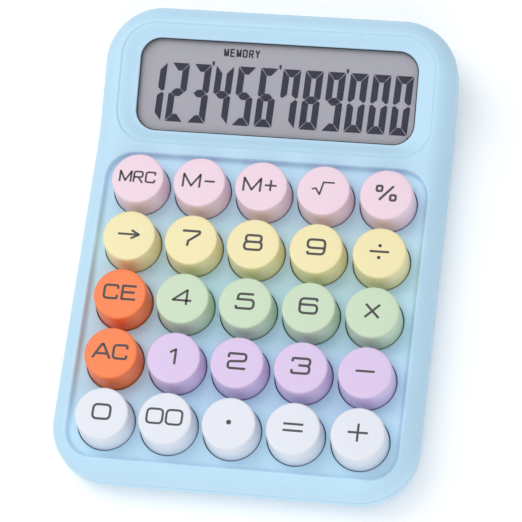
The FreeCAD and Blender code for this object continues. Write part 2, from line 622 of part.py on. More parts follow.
def make_display_frame():
    """Shallow moulded tray that presses the display against the window, held by four screws in its ears."""
    body = new_body("lcd_frame")
    floor_under = f"({FRAME_FLOOR_TOP} + frame_floor)"
    rim_top = "(flare_depth + lip + 0.06)"
    half = "(window_half_width + lens_margin + frame_gap + frame_wall)"
    outline = new_sketch(body, height=floor_under, tilted=True)
    rounded_rectangle(outline, f"-{half}", half, FRAME_NEAR, FRAME_FAR, "2")
    pad(body, outline, f"{floor_under} - {rim_top}")
    ears = new_sketch(body, height=f"{FRAME_EAR_TOP} + 1.6", tilted=True)
    for x, y in frame_screw_points():
        circle(ears, x, y, "post_radius + 0.3")
    pad(body, ears, "1.6")
    room = new_sketch(body, height="0", tilted=True)
    rounded_rectangle(room, f"-({half} - frame_wall)", f"{half} - frame_wall", f"{FRAME_NEAR} + frame_wall",
                      f"{FRAME_FAR} - frame_wall", "1")
    pocket(body, room, FRAME_FLOOR_TOP)
    bores = new_sketch(body, height="0", tilted=True)
    for x, y in frame_screw_points():
        circle(bores, x, y, "clear_radius")
    pocket(body, bores, "12")
    slot = new_sketch(body, height=f"{REFLECTOR_TOP} - 0.15", tilted=True)
    polygon(slot, (("-19", f"{FRAME_NEAR} - 1"), ("19", f"{FRAME_NEAR} - 1"), ("19", "window_near"),
                   ("-19", "window_near")))
    pocket(body, slot, "0.75")


# ---------------------------------------------------------------- keypad board and dome mat
def screw_cells():
    return CASE_SCREW_CELLS + BOARD_SCREW_CELLS


def make_board():
    """Flat circuit board with clearance holes round every screw."""
    body = new_body("main_board")
    outline = new_sketch(body, height="board_bottom")
    rounded_rectangle(outline, "-board_half_width", "board_half_width", "board_near", "board_far",
                      "board_corner")
    pad(body, outline, "board_thick")
    holes = new_sketch(body, height=BOARD_TOP)
    for cell in screw_cells():
        circle(holes, *cell_point(cell), "clear_radius")
    pocket(body, holes, "board_thick + 1")


def dome_profile(sketch, x, inset, bottom, shoulder):
    """Half section of a collapsible dome about the vertical line at x: sloping skirt and flat crown."""
    crown = f"({FLANGE_UNDER} - stem_gap - ({inset}))"
    polygon(sketch, (
        (x, bottom), (f"{x} + dome_radius - ({inset})", bottom), (f"{x} + dome_radius - ({inset})", shoulder),
        (f"{x} + dome_crown_radius - ({inset}) / 2", crown), (x, crown),
    ))
    axis_x = value(x)
    sketch.addGeometry(Part.LineSegment(Vector(axis_x, 0, 0), Vector(axis_x, 1, 0)), True)


def turned_grid(body, kind, sketch):
    """The section turned about its own construction line, then repeated under every key."""
    turned = body.newObject("PartDesign::" + kind, body.Name + "_turned")
    turned.Profile = sketch
    turned.ReferenceAxis = (sketch, ["Axis0"])
    turned.Angle = 360
    document.recompute()
    repeat_grid(body, turned, 5, 5)


def make_mat():
    """Silicone sheet over the board with one hollow dome under each key."""
    body = new_body("dome_mat")
    outline = new_sketch(body, height=f"{BOARD_TOP} + 0.02")
    rounded_rectangle(outline, "-mat_half_width", "mat_half_width", "mat_near", "mat_far", "mat_corner")
    pad(body, outline, "mat_thick - 0.02")
    holes = new_sketch(body, height=MAT_TOP)
    for cell in screw_cells():
        circle(holes, *cell_point(cell), "post_radius + 0.5")
    pocket(body, holes, "mat_thick + 1")
    first_x = "-2 * column_pitch"
    first_row = "-(keypad_y - 2 * row_pitch)"
    shell = new_sketch(body, "XZ_Plane", first_row)
    dome_profile(shell, first_x, "0", f"{MAT_TOP} - 0.4", MAT_TOP)
    turned_grid(body, "Revolution", shell)
    room = new_sketch(body, "XZ_Plane", first_row)
    dome_profile(room, first_x, "dome_wall", BOARD_TOP, f"{MAT_TOP} - dome_wall")
    turned_grid(body, "Groove", room)


def make_pills():
    """Carbon-filled contact discs moulded to the underside of the domes' crowns."""
    body = new_body("contact_pills")
    disc = new_sketch(body, height=f"{FLANGE_UNDER} - stem_gap - dome_wall - 0.02")
    for row in ROWS:
        for column in COLUMNS:
            circle(disc, f"{column} * column_pitch", f"keypad_y + {row} * row_pitch", "pill_radius")
    pad(body, disc, "pill_thick", reversed_way=True)


# ---------------------------------------------------------------- small parts on and under the board
UNDER_BOARD = "(board_bottom - 0.02)"


def make_chip():
    """Dome of black resin over the bonded processor."""
    body = new_body("processor_cover")
    section = new_sketch(body, "XZ_Plane", "-8")
    polygon(section, (("0", UNDER_BOARD), ("4.2", UNDER_BOARD), ("3.2", f"{UNDER_BOARD} - 0.7"),
                      ("1.8", f"{UNDER_BOARD} - 1"), ("0", f"{UNDER_BOARD} - 1")))
    revolve(body, section)


def make_chip_parts():
    """Surface-mounted resistors and capacitors in a row beside the processor."""
    body = new_body("chip_resistors")
    blocks = new_sketch(body, height=UNDER_BOARD)
    for index in range(6):
        left = f"({-12 + 4 * index})"
        polygon(blocks, ((left, "16"), (f"{left} + 1.2", "16"), (f"{left} + 1.2", "18"), (left, "18")))
    pad(body, blocks, "0.6", reversed_way=True)


def make_smoothing_capacitor():
    """Small electrolytic can laid flat on the far edge of the board."""
    body = document.addObject("Part::Cylinder", "smoothing_capacitor")
    body.Label = "smoothing_capacitor"
    body.Radius = 1.0
    body.Height = 5.0
    place = Vector(-12, 22.5, value(UNDER_BOARD) - 1.02)
    body.Placement = FreeCAD.Placement(place, FreeCAD.Rotation(Vector(0, 1, 0), 90))
    parts.append(body)


# ---------------------------------------------------------------- screws and feet
def screw_solid(x, y, seat, head_round, length):
    """Pan-head screw standing head down: the head's bearing face is at seat, the shank rises from it."""
    foot = Vector(x, y, seat - value("head_thick"))
    head = Part.makeCylinder(value("head_radius"), value("head_thick"), foot)
    slot = Part.makeBox(value("head_radius") * 1.3, 0.5, 0.6)
    slot.translate(Vector(x - value("head_radius") * 0.65, y - 0.25, seat - value("head_thick") - 0.01))
    cross = slot.copy()
    cross.rotate(Vector(x, y, 0), Vector(0, 0, 1), 90)
    shank = Part.makeCylinder(value("shank_radius"), length - 1, Vector(x, y, seat))
    point = Part.makeCone(value("shank_radius"), 0.3, 1, Vector(x, y, seat + length - 1))
    rim = [edge for edge in head.Edges if abs(edge.BoundBox.ZMax - (seat - value("head_thick"))) < 1e-6]
    head = head.makeFillet(head_round, [edge for edge in rim if is_circle(edge)])
    return head.fuse([shank, point]).cut([slot, cross]).removeSplitter()


def group(name, solids):
    """Identical loose pieces kept together as one sub-part of separate solids."""
    feature = document.addObject("Part::Feature", name)
    feature.Label = name
    feature.Shape = Part.makeCompound(solids)
    feature.Placement = FreeCAD.Placement()
    parts.append(feature)
    return feature


def make_screws():
    case_screws = []
    seat = value("board_bottom - post_gap - 1.8")
    for cell in CASE_SCREW_CELLS:
        x, y = (value(text) for text in cell_point(cell))
        case_screws.append(screw_solid(x, y, seat, 0.5, 7.4))
    for y in DISPLAY_SCREW_ROWS:
        for side in (-1, 1):
            bearing = display_screw_levels(y)["seat"]
            case_screws.append(screw_solid(side * DISPLAY_SCREW_X, y, bearing, 0.5, 8.0))
    group("case_screws", case_screws)
    board_screws = []
    for cell in BOARD_SCREW_CELLS:
        x, y = (value(text) for text in cell_point(cell))
        board_screws.append(screw_solid(x, y, value(UNDER_BOARD), 0.5, 5.6))
    group("board_screws", board_screws)
    frame_screws = []
    seat_depth = value(f"{FRAME_EAR_TOP} + 1.62")
    tilt = FreeCAD.Rotation(Vector(1, 0, 0), value("display_tilt"))
    onto_display = FreeCAD.Placement(Vector(0, value("bend_y"), value("rim_height")), tilt)
    for x, y in frame_screw_points():
        screw = screw_solid(value(x), value(y), -seat_depth, 0.5, 3.2)
        frame_screws.append(screw.transformGeometry(onto_display.toMatrix()))
    group("frame_screws", frame_screws)


def make_feet():
    """Four soft round feet pressed into sockets in the underside."""
    feet = []
    for side in (-1, 1):
        for x, y, radius in ((value("foot_x"), value("foot_near_y"), value("foot_radius")),
                             (value("foot_far_x"), value("foot_far_y"), value("foot_far_radius"))):
            height = value("base_height + foot_socket") - 0.02
            foot = Part.makeCylinder(radius, height, Vector(side * x, y, 0))
            rim = [edge for edge in foot.Edges if edge.BoundBox.ZMax < 1e-6]
            feet.append(foot.makeFillet(0.5, rim))
    group("rubber_feet", feet)


# ---------------------------------------------------------------- cell, contacts, leads and display ribbon
def make_cell():
    """Round dry cell lying across the foot, its raised end towards -X."""
    body = new_body("battery_cell")
    section = new_sketch(body, "XY_Plane")
    middle = "(cell_length / 2)"
    polygon(section, (
        ("0", f"-{middle}"), ("cell_radius", f"-{middle}"), ("cell_radius", middle),
        ("cell_nub_radius", middle),
        ("cell_nub_radius", f"{middle} + cell_nub"), ("0", f"{middle} + cell_nub"),
    ))
    turned = revolve(body, section)
    fillet(body, turned, edges_where(turned, lambda spot, edge: abs(abs(spot.y) - value(middle)) < 1e-3
                                     and edge.Curve.TypeId == "Part::GeomCircle"
                                     and abs(edge.Curve.Radius - value("cell_radius")) < 1e-3), "0.4")
    body.Placement = FreeCAD.Placement(Vector(-0.3, value("cell_y"), value(CELL_HEIGHT)),
                                       FreeCAD.Rotation(Vector(0, 0, 1), 90))


def make_positive_contact():
    """Flat sprung plate that the raised end of the cell touches, with a solder tab above it."""
    body = new_body("battery_contact_positive")
    plate = new_sketch(body, "YZ_Plane", "-(bay_half_length - 0.02)")
    polygon(plate, (
        ("cell_y - 4", f"{CELL_HEIGHT} - 4"), ("cell_y + 4", f"{CELL_HEIGHT} - 4"),
        ("cell_y + 4", f"{CELL_HEIGHT} + 3"), ("cell_y - 1", f"{CELL_HEIGHT} + 3"),
        ("cell_y - 1", f"{CELL_HEIGHT} + 4"), ("cell_y - 4", f"{CELL_HEIGHT} + 4"),
    ))
    pad(body, plate, "contact_thick")


def make_spring_contact():
    """Flat plate with a tapering coil that presses on the flat end of the cell."""
    plate = Part.makeBox(value("contact_thick"), 8, 7)
    inner_face = value("bay_half_length - contact_thick - 0.02")
    plate.translate(Vector(inner_face, value("cell_y") - 4, value(CELL_HEIGHT) - 4))
    tab = Part.makeBox(value("contact_thick"), 3, 1)
    tab.translate(Vector(inner_face, value("cell_y") - 4, value(CELL_HEIGHT) + 3))
    end = value("bay_half_length - contact_thick")
    start = value("cell_length / 2 - 0.3 + 0.32")
    wire_radius = 0.25
    turns = 3
    coils = []
    for turn in range(turns):
        share = turn / (turns - 1)
        radius = 3.4 - 1.2 * share
        x = end - wire_radius + (start - end + 2 * wire_radius) * share
        middle = Vector(x, value("cell_y"), value(CELL_HEIGHT))
        coils.append(Part.makeTorus(radius, wire_radius, middle, Vector(1, 0, 0)))
    links = []
    for one, other in zip(coils, coils[1:]):
        a = one.BoundBox
        b = other.BoundBox
        low = Vector((a.XMin + a.XMax) / 2, value("cell_y"), a.ZMax - wire_radius)
        high = Vector((b.XMin + b.XMax) / 2, value("cell_y"), b.ZMax - wire_radius)
        links.append(Part.makeCylinder(wire_radius, (high - low).Length, low, high - low))
    feature = document.addObject("Part::Feature", "battery_contact_spring")
    feature.Label = "battery_contact_spring"
    feature.Shape = plate.fuse([tab] + coils + links)
    parts.append(feature)


def rounded_path(points):
    """Straight runs joined by tangent arcs, each arc as large as its two runs allow."""
    edges = []
    start = points[0]
    for before, corner, after in zip(points, points[1:], points[2:]):
        towards = (corner - before).normalize()
        away = (after - corner).normalize()
        half_turn = towards.getAngle(away) / 2
        shorter = min((corner - before).Length, (after - corner).Length)
        radius = 0.45 * shorter / math.tan(half_turn)
        arc_start = corner - towards * 0.45 * shorter
        arc_end = corner + away * 0.45 * shorter
        inward = (away - towards).normalize()
        arc_middle = corner + inward * (radius / math.cos(half_turn) - radius)
        edges.append(Part.LineSegment(start, arc_start).toShape())
        edges.append(Part.Arc(arc_start, arc_middle, arc_end).toShape())
        start = arc_end
        print(f"  bend radius {radius:.1f} mm")
    edges.append(Part.LineSegment(start, points[-1]).toShape())
    return Part.Wire(edges)


def swept(path, profile):
    """The profile wire carried along the path, compared with its section times its length."""
    solid = path.makePipeShell([profile], True, False)
    ideal = Part.Face(profile).Area * path.Length
    if abs(solid.Volume - ideal) > 0.01 * ideal:
        raise RuntimeError("swept volume differs from section times length")
    return solid


def make_leads():
    """Two insulated wires from the contacts' tabs, over the wall of the foot, to the board's far edge."""
    y = value("cell_y")
    for name, side in (("lead_red", -1), ("lead_black", 1)):
        x = side * value("lead_x")
        tab_x = side * (value("bay_half_length") + value("cradle_wall") + 1.6)
        points = [Vector(tab_x, y - 7.2, 11.0), Vector(x, y - 14.2, 8.6), Vector(x, y - 22.5, 6.9)]
        points.append(Vector(x, 28.2, 7.9))
        ring = Part.makeCircle(value("lead_radius"), points[0], points[1] - points[0])
        feature = document.addObject("Part::Feature", name)
        feature.Label = name
        feature.Shape = swept(rounded_path(points), Part.Wire([ring]))
        parts.append(feature)


def display_point(along, depth):
    """Point of the middle plane, a distance along the display plane and a depth under it."""
    tilt = math.radians(value("display_tilt"))
    return Vector(0, value("bend_y") + along * math.cos(tilt) + depth * math.sin(tilt),
                  value("rim_height") + along * math.sin(tilt) - depth * math.cos(tilt))


def make_ribbon():
    """Thin printed film that joins the near edge of the display to the board."""
    depth = value(REFLECTOR_TOP) + 0.1
    points = [display_point(value("window_near") + 1.8, depth), display_point(value(FRAME_NEAR) - 0.6, depth),
              Vector(0, 31.2, value(BOARD_TOP) + 0.7), Vector(0, 28.4, value(BOARD_TOP) + 0.08)]
    half_width, half_thick = 18.0, 0.06
    along = (points[1] - points[0]).normalize()
    across = Vector(1, 0, 0)
    square = along.cross(across)
    corners = [points[0] + across * side * half_width + square * up * half_thick
               for side, up in ((-1, -1), (1, -1), (1, 1), (-1, 1), (-1, -1))]
    feature = document.addObject("Part::Feature", "lcd_ribbon")
    feature.Label = "lcd_ribbon"
    feature.Shape = swept(rounded_path(points), Part.makePolygon(corners))
    parts.append(feature)


# ---------------------------------------------------------------- build, verify, write
make_front_housing()
make_back_housing()
make_battery_door()
for row, names in zip(ROWS, KEY_NAMES):
    for column, name in zip(COLUMNS, names):
        make_key(name, column, row)
make_display_stack()
make_display_frame()
make_ribbon()
make_board()
make_mat()
make_pills()
make_chip()
make_chip_parts()
make_smoothing_capacitor()
make_screws()
make_feet()
make_cell()
make_positive_contact()
make_spring_contact()
make_leads()

document.recompute()
for item in document.Objects:
    if "Invalid" in item.State or "Error" in item.State:
        raise RuntimeError(f"{item.Name} failed: {item.State}")
for part in parts:
    if part.Shape.isNull() or not part.Shape.isValid():
        raise RuntimeError(f"{part.Label} has no valid shape")
os.makedirs("parts", exist_ok=True)
for part in parts:
    part.Shape.exportStep(f"parts/{part.Label}.step")
print(f"{len(parts)} sub-parts written")
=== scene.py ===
"""A desk calculator: satin pastel case, sunk keypad with round sprung keys, tilted segment display."""

import bmesh
import bpy
import numpy as np
from mathutils import Matrix, Vector
from mathutils.geometry import delaunay_2d_cdt


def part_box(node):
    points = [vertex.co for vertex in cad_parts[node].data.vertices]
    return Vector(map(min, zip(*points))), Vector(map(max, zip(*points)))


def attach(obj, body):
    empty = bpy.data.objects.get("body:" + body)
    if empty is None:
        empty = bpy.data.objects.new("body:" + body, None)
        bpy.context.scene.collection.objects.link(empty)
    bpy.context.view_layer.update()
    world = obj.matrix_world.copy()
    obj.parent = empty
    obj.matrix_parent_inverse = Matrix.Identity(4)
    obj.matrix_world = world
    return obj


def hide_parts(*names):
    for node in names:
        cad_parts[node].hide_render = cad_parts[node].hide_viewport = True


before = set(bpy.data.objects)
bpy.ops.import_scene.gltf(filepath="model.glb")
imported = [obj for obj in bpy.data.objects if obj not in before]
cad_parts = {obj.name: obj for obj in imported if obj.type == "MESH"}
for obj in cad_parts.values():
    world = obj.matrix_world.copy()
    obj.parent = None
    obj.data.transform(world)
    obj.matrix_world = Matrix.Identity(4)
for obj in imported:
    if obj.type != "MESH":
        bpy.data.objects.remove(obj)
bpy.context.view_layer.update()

# ------------------------------------------------------------------ front shell
# The moulded top half of the case, one piece of satin plastic. Its surface is the bent slab that a 7 mm
# ball rounds at the rim, with the keypad sunk into it and a soft flare that falls to the window.
MM = 0.001
CASE_SIDE, CASE_END = (round(reach / MM, 2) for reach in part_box("front_housing")[1][:2])
CASE_CORNER = 17.5
EDGE_ROUND = 7.0
RIM_HEIGHT = 16.1
BEND_Y = 35.4
TILT = np.radians(16.0)
BEND_RADIUS = 40.0
PARTING_DROP = 8.1
BEND_START = BEND_Y - BEND_RADIUS * np.tan(TILT / 2)


def bent_line(y, drop=0.0):
    """Height and slope angle of the top surface's side profile, lowered square to itself: level, then an
    arc of the bend radius plus the drop, then a straight rise at the tilt."""
    y = np.asarray(y, float)
    radius = BEND_RADIUS + drop
    angle = np.arcsin(np.clip((y - BEND_START) / radius, 0.0, np.sin(TILT)))
    on_arc = RIM_HEIGHT + BEND_RADIUS - radius * np.cos(angle)
    beyond = np.maximum(y - BEND_START - radius * np.sin(TILT), 0.0) * np.tan(TILT)
    return on_arc + beyond, angle


def box_legs(box, legs, inset=0.0):
    """Plan points of a rounded rectangle (left, right, near, far, corner radius), drawn in by an inset. A
    place is a leg number plus a share of that leg: leg 0 is the far side's right half, then clockwise seen
    from above a corner arc and a side in turn; leg 4 is the near side and 8 the far side's left half."""
    left, right, near, far = (edge + way * inset for edge, way in zip(box, (1, -1, 1, -1)))
    corner = box[4] - inset
    legs = np.asarray(legs, float)
    leg = np.clip(np.floor(legs).astype(int), 0, 8)
    share = (legs - leg)[:, None]
    mid = (left + right) / 2
    x0, x1, y0, y1 = left + corner, right - corner, near + corner, far - corner
    # Where each leg begins (for a corner, its arc's centre), and where each straight leg ends.
    begin = np.array([(mid, far), (x1, y1), (right, y1), (x1, y0), (x1, near),
                      (x0, y0), (left, y0), (x0, y1), (x0, far)])
    end = np.array([(x1, far), (0, 0), (right, y0), (0, 0), (x0, near),
                    (0, 0), (left, y1), (0, 0), (mid, far)])
    first_angle = np.radians([90, 90, 0, 0, -90, -90, 180, 180, 90])[leg][:, None]
    angle = first_angle - share * np.pi / 2
    rounded = begin[leg] + corner * np.hstack([np.cos(angle), np.sin(angle)])
    return np.where((leg % 2 == 1)[:, None], rounded, begin[leg] + (end[leg] - begin[leg]) * share)


OUTLINE = (-CASE_SIDE, CASE_SIDE, -CASE_END, CASE_END, CASE_CORNER)
RIM_STEPS = (140, 120, 420, 120, 280, 120, 420, 120, 140)
rim_legs = np.concatenate([np.linspace(leg, leg + 1, steps, endpoint=False)
                           for leg, steps in enumerate(RIM_STEPS)])
RIM_PATH = box_legs(OUTLINE, rim_legs, EDGE_ROUND)
BALLS = np.column_stack([RIM_PATH, bent_line(RIM_PATH[:, 1], EDGE_ROUND)[0]])
BALL_REACH = EDGE_ROUND ** 2 * 1.0005
OUT_OF_REACH = -1e3
POINTS_AT_ONCE = 4000


def case_top(points):
    """Height of the case's top over plan points: the bent surface where the ball can reach it from inside,
    and elsewhere the highest ball along the rim path, refined between its three nearest centres."""
    points = np.asarray(points, float)
    height, angle = bent_line(points[:, 1])
    centre_y = points[:, 1] + EDGE_ROUND * np.sin(angle)
    inside_x = np.abs(points[:, 0]) - (CASE_SIDE - CASE_CORNER)
    inside_y = np.abs(centre_y) - (CASE_END - CASE_CORNER)
    corner_reach = np.hypot(np.maximum(inside_x, 0), np.maximum(inside_y, 0))
    reach = CASE_CORNER - EDGE_ROUND
    free = np.where((inside_x > 0) & (inside_y > 0), corner_reach <= reach,
                    np.maximum(inside_x, inside_y) <= reach)
    for start in range(0, len(points), POINTS_AT_ONCE):
        block = slice(start, start + POINTS_AT_ONCE)
        rim = ~free[block]
        if not rim.any():
            continue
        spots = points[block][rim]
        gap = ((spots[:, None, :] - BALLS[None, :, :2]) ** 2).sum(axis=2)
        tops = BALLS[None, :, 2] + np.sqrt(np.maximum(EDGE_ROUND ** 2 - gap, 0.0))
        tops = np.where(gap <= BALL_REACH, tops, OUT_OF_REACH)
        best = tops.argmax(axis=1)
        rows = np.arange(len(spots))
        before, middle, after = (tops[rows, (best + step) % len(BALLS)] for step in (-1, 0, 1))
        bend = before - 2 * middle + after
        usable = (before > OUT_OF_REACH / 2) & (after > OUT_OF_REACH / 2) & (bend < -1e-12)
        peak = middle - np.where(usable, (after - before) ** 2 / (8 * np.where(usable, bend, -1.0)), 0.0)
        values = height[block]
        values[rim] = peak
        height[block] = values
    return height


WELD = 0.002
FILM_WELD = 0.001


class Patchwork:
    """Collects grids and loose triangles of one piece, in millimetres, and makes them one mesh."""

    def __init__(self):
        self.points, self.faces, self.count = [], [], 0

    def grid(self, rows):
        """Quads between neighbouring rows of points."""
        rows = np.asarray(rows, float)
        index = np.arange(rows.shape[0] * rows.shape[1]).reshape(rows.shape[:2]) + self.count
        quads = np.stack([index[:-1, :-1], index[:-1, 1:], index[1:, 1:], index[1:, :-1]], axis=-1)
        self.points.append(rows.reshape(-1, 3))
        self.faces.append(quads.reshape(-1, 4))
        self.count += index.size

    def triangles(self, points, faces):
        """Loose triangles over their own list of points."""
        self.points.append(np.asarray(points, float))
        self.faces.append(np.asarray(faces) + self.count)
        self.count += len(points)

    def mirror(self):
        """Adds the same patches on the other side of the middle."""
        self.faces += [faces[:, ::-1] + self.count for faces in self.faces]
        self.points += [points * (-1, 1, 1) for points in self.points]
        self.count *= 2

    def piece(self, name, film=False):
        """One object, in metres, its patches welded where they meet: a closed body with its faces turned
        outwards, or a printed film whose faces all look up."""
        points = np.concatenate(self.points)
        faces = []
        for patch in self.faces:
            # Half the crossed diagonals is a face's area, along its normal; a triangle has two equal corners.
            first, second, third, last = (points[patch[:, corner]] for corner in (0, 1, 2, -1))
            turned = film & (np.cross(third - first, last - second)[:, 2] < 0)
            faces += np.where(turned[:, None], patch[:, ::-1], patch).tolist()
        mesh = bpy.data.meshes.new(name)
        mesh.from_pydata((points * MM).tolist(), [], faces)
        shape = bmesh.new()
        shape.from_mesh(mesh)
        bmesh.ops.remove_doubles(shape, verts=shape.verts, dist=(FILM_WELD if film else WELD) * MM)
        if not film:
            bmesh.ops.recalc_face_normals(shape, faces=shape.faces)
            if shape.calc_volume(signed=True) < 0:
                bmesh.ops.reverse_faces(shape, faces=shape.faces)
        shape.to_mesh(mesh)
        shape.free()
        if not film:
            mesh.shade_smooth()
        thing = bpy.data.objects.new(name, mesh)
        bpy.context.scene.collection.objects.link(thing)
        return thing


def lift(plan, height):
    """Plan points with a height each."""
    return np.column_stack([plan, np.broadcast_to(height, len(plan))])


def steps_between(*marks):
    """Numbers that run through marks given in turn as value, steps, value, steps, ... value."""
    values, counts = marks[::2], marks[1::2]
    spans = [np.linspace(start, end, count, endpoint=False)
             for start, end, count in zip(values, values[1:], counts)]
    return np.concatenate(spans + [[values[-1]]])


def display_frame_point(points):
    """Across, along and depth below the display plane, from plan-and-height points."""
    y, z = points[:, 1] - BEND_Y, points[:, 2] - RIM_HEIGHT
    return np.column_stack([points[:, 0], y * np.cos(TILT) + z * np.sin(TILT),
                            y * np.sin(TILT) - z * np.cos(TILT)])


def from_display(across_along, depth):
    """Plan-and-height points from places in the display plane and a depth below it."""
    along, depth = across_along[:, 1], np.broadcast_to(depth, len(across_along))
    return np.column_stack([across_along[:, 0], BEND_Y + along * np.cos(TILT) + depth * np.sin(TILT),
                            RIM_HEIGHT + along * np.sin(TILT) - depth * np.cos(TILT)])


def disc_plan(centre, radius, sides):
    """Points of a circle in plan."""
    angle = np.arange(sides) * 2 * np.pi / sides
    return np.asarray(centre) + radius * np.column_stack([np.cos(angle), np.sin(angle)])


RECESS = (-50.2, 50.2, -70.8, 28.4, 9.3)
RECESS_FLOOR = 13.8
PLATE_UNDER = 11.8
RIM_SOFT = 0.7
FLOOR_SOFT = 1.3
RECESS_DRAFT = 0.15
DISPLAY_RING = (-49.2, 49.2, 31.3, 68.3, 10.5)
WINDOW = (-43.3, 43.3, 0.4, 29.4, 6.5)
WINDOW_SOFT = 0.35
FLARE_DEPTH = 1.5
LIP_UNDER = 2.3
CREASE_DROP = 0.32
WALL = 2.0
PART_LINE_CHAMFER = 0.2
KEY_HOLE_RADIUS = 8.8
KEY_HOLE_SOFT = 0.2
HOLE_SIDES = 72
KEY_ROWS = (("memory_recall", "memory_minus", "memory_plus", "square_root", "percent"),
            ("backspace", "7", "8", "9", "divide"), ("clear_entry", "4", "5", "6", "multiply"),
            ("all_clear", "1", "2", "3", "subtract"), ("0", "00", "point", "equals", "add"))


def outline_leg(y):
    """Leg number of the point at y on the case outline's right side."""
    straight = CASE_END - CASE_CORNER
    return 2 + (straight - y) / (2 * straight)


# Half the rim strip, from the middle of the far side clockwise to leg 4.5, the middle of the near side. Its
# inner edge follows the display ring, crosses the bridge to the keypad, then follows the recess. Its outer
# edge has its points level with theirs.
ring_near, ring_corner = DISPLAY_RING[2], DISPLAY_RING[4]
recess_far, recess_corner = RECESS[3], RECESS[4]
bridge_steps = 6
ring_legs = steps_between(0, 26, 1, 26, 2, 16, 3, 14, 4, 26, 4.5)
ring_rim_legs = ring_legs[ring_legs <= 4]
recess_legs = steps_between(0, 26, 1, 14, 2, 48, 3, 28, 4, 26, 4.5)
recess_rim_legs = recess_legs[recess_legs >= 1]
outer_legs = steps_between(0, 26, 1, 26, 2, 16, outline_leg(ring_near + ring_corner), 14,
                           outline_leg(ring_near - 1), bridge_steps, outline_leg(recess_far + 0.8), 14,
                           outline_leg(recess_far - recess_corner), 48, 3, 28, 4, 26, 4.5)


def rim_inner_edge(on_ring, on_recess):
    """The strip's inner edge: round the ring, straight across the bridge, round the recess."""
    share = np.linspace(0, 1, bridge_steps + 1)[1:-1, None]
    return np.vstack([on_ring, on_ring[-1] + (on_recess[0] - on_ring[-1]) * share, on_recess])


shell = Patchwork()
outer_plan = box_legs(OUTLINE, outer_legs)
inner_plan = rim_inner_edge(box_legs(DISPLAY_RING, ring_rim_legs), box_legs(RECESS, recess_rim_legs))
ball_height = bent_line(box_legs(OUTLINE, outer_legs, EDGE_ROUND)[:, 1], EDGE_ROUND)[0]
part_height = bent_line(outer_plan[:, 1], PARTING_DROP)[0]
above_equator = np.clip((part_height - ball_height) / EDGE_ROUND, 0, 1)
first_angle = np.arcsin(above_equator)
rows = []
for share in np.linspace(0, 1, 16):
    # Even steps of the ball's angle up the rounding, carried on at an even pace to the strip's inner edge.
    angle = first_angle + (np.pi / 2 - first_angle) * share
    pace = (1 - np.cos(angle)) if share < 1 else np.ones_like(angle)
    plan = outer_plan + (inner_plan - outer_plan) * np.minimum(pace, 1)[:, None]
    rows.append(lift(plan, np.maximum(case_top(plan), part_height)))
wall_foot = lift(outer_plan, part_height + PART_LINE_CHAMFER)
rows = [wall_foot] + rows
inner_outline = box_legs(OUTLINE, outer_legs, WALL)
chamfer_foot = lift(box_legs(OUTLINE, outer_legs, PART_LINE_CHAMFER), part_height)
inner_foot = lift(inner_outline, bent_line(inner_outline[:, 1], PARTING_DROP)[0])
inner_shoulder = lift(inner_outline, ball_height + 2)
RING_UNDER = -0.6
RECESS_UNDER = -1.7


def ring_underside(legs):
    """Places round the display frame on the lip's underside, a little outside the crease."""
    plan = box_legs(DISPLAY_RING, legs, RING_UNDER)
    return lift(plan, bent_line(plan[:, 1], LIP_UNDER)[0])


def recess_underside(legs):
    """Places round the keypad plate's lower edge."""
    return lift(box_legs(RECESS, legs, RECESS_UNDER), PLATE_UNDER)


under_edge = rim_inner_edge(ring_underside(ring_rim_legs), recess_underside(recess_rim_legs))
shell.grid(rows)
shell.grid([rows[0], chamfer_foot, inner_foot, inner_shoulder, under_edge])


def bridge(ring_points, recess_points):
    """Rows across the bridge, from the display ring's near side to the recess's far side."""
    return [ring_points + (recess_points - ring_points) * share
            for share in np.linspace(0, 1, bridge_steps + 1)]


near_ring = ring_legs >= 4
far_recess = recess_legs <= 1
bridge_plan = bridge(box_legs(DISPLAY_RING, ring_legs[near_ring]),
                     box_legs(RECESS, recess_legs[far_recess][::-1]))
shell.grid([lift(plan, case_top(plan)) for plan in bridge_plan])
shell.grid(bridge(ring_underside(ring_legs[near_ring]), recess_underside(recess_legs[far_recess][::-1])))

# The recess: soft rim, slightly drafted wall and a soft foot, carried round its outline.
recess_top = case_top(box_legs(RECESS, recess_legs))
quarter_turn = np.linspace(0, np.pi / 2, 7)
rows = [lift(box_legs(RECESS, recess_legs, RIM_SOFT * np.sin(turn)),
             recess_top - RIM_SOFT * (1 - np.cos(turn))) for turn in quarter_turn[:-1] * 0.97]
foot_inset = RIM_SOFT + RECESS_DRAFT
rows += [lift(box_legs(RECESS, recess_legs, foot_inset + FLOOR_SOFT * (1 - np.cos(turn))),
              RECESS_FLOOR + FLOOR_SOFT * (1 - np.sin(turn))) for turn in quarter_turn]
shell.grid(rows)

# The display frame: a fine crease, the soft flare down to the window, the lip and its underside.
ring_plan = box_legs(DISPLAY_RING, ring_legs)
ring_edge = lift(ring_plan, case_top(ring_plan))
CREASE = ((0.06, 0.03), (0.18, 0.2), (0.3, 0.42), (0.46, 0.52), (0.64, 0.48), (0.82, CREASE_DROP))
rows = [ring_edge]
for inset, drop in CREASE:
    plan = box_legs(DISPLAY_RING, ring_legs, inset)
    rows.append(lift(plan, case_top(plan) - drop))
flare_start = display_frame_point(rows[-1])
flare_end = np.column_stack([box_legs(WINDOW, ring_legs, -WINDOW_SOFT), np.full(len(ring_legs), FLARE_DEPTH)])
for share in np.linspace(0, 1, 17)[1:]:
    fall = 0.55 * share + 0.45 * share ** 2 * (3 - 2 * share)
    place = flare_start + (flare_end - flare_start) * share
    rows.append(from_display(place[:, :2], flare_start[:, 2] + (flare_end[:, 2] - flare_start[:, 2]) * fall))
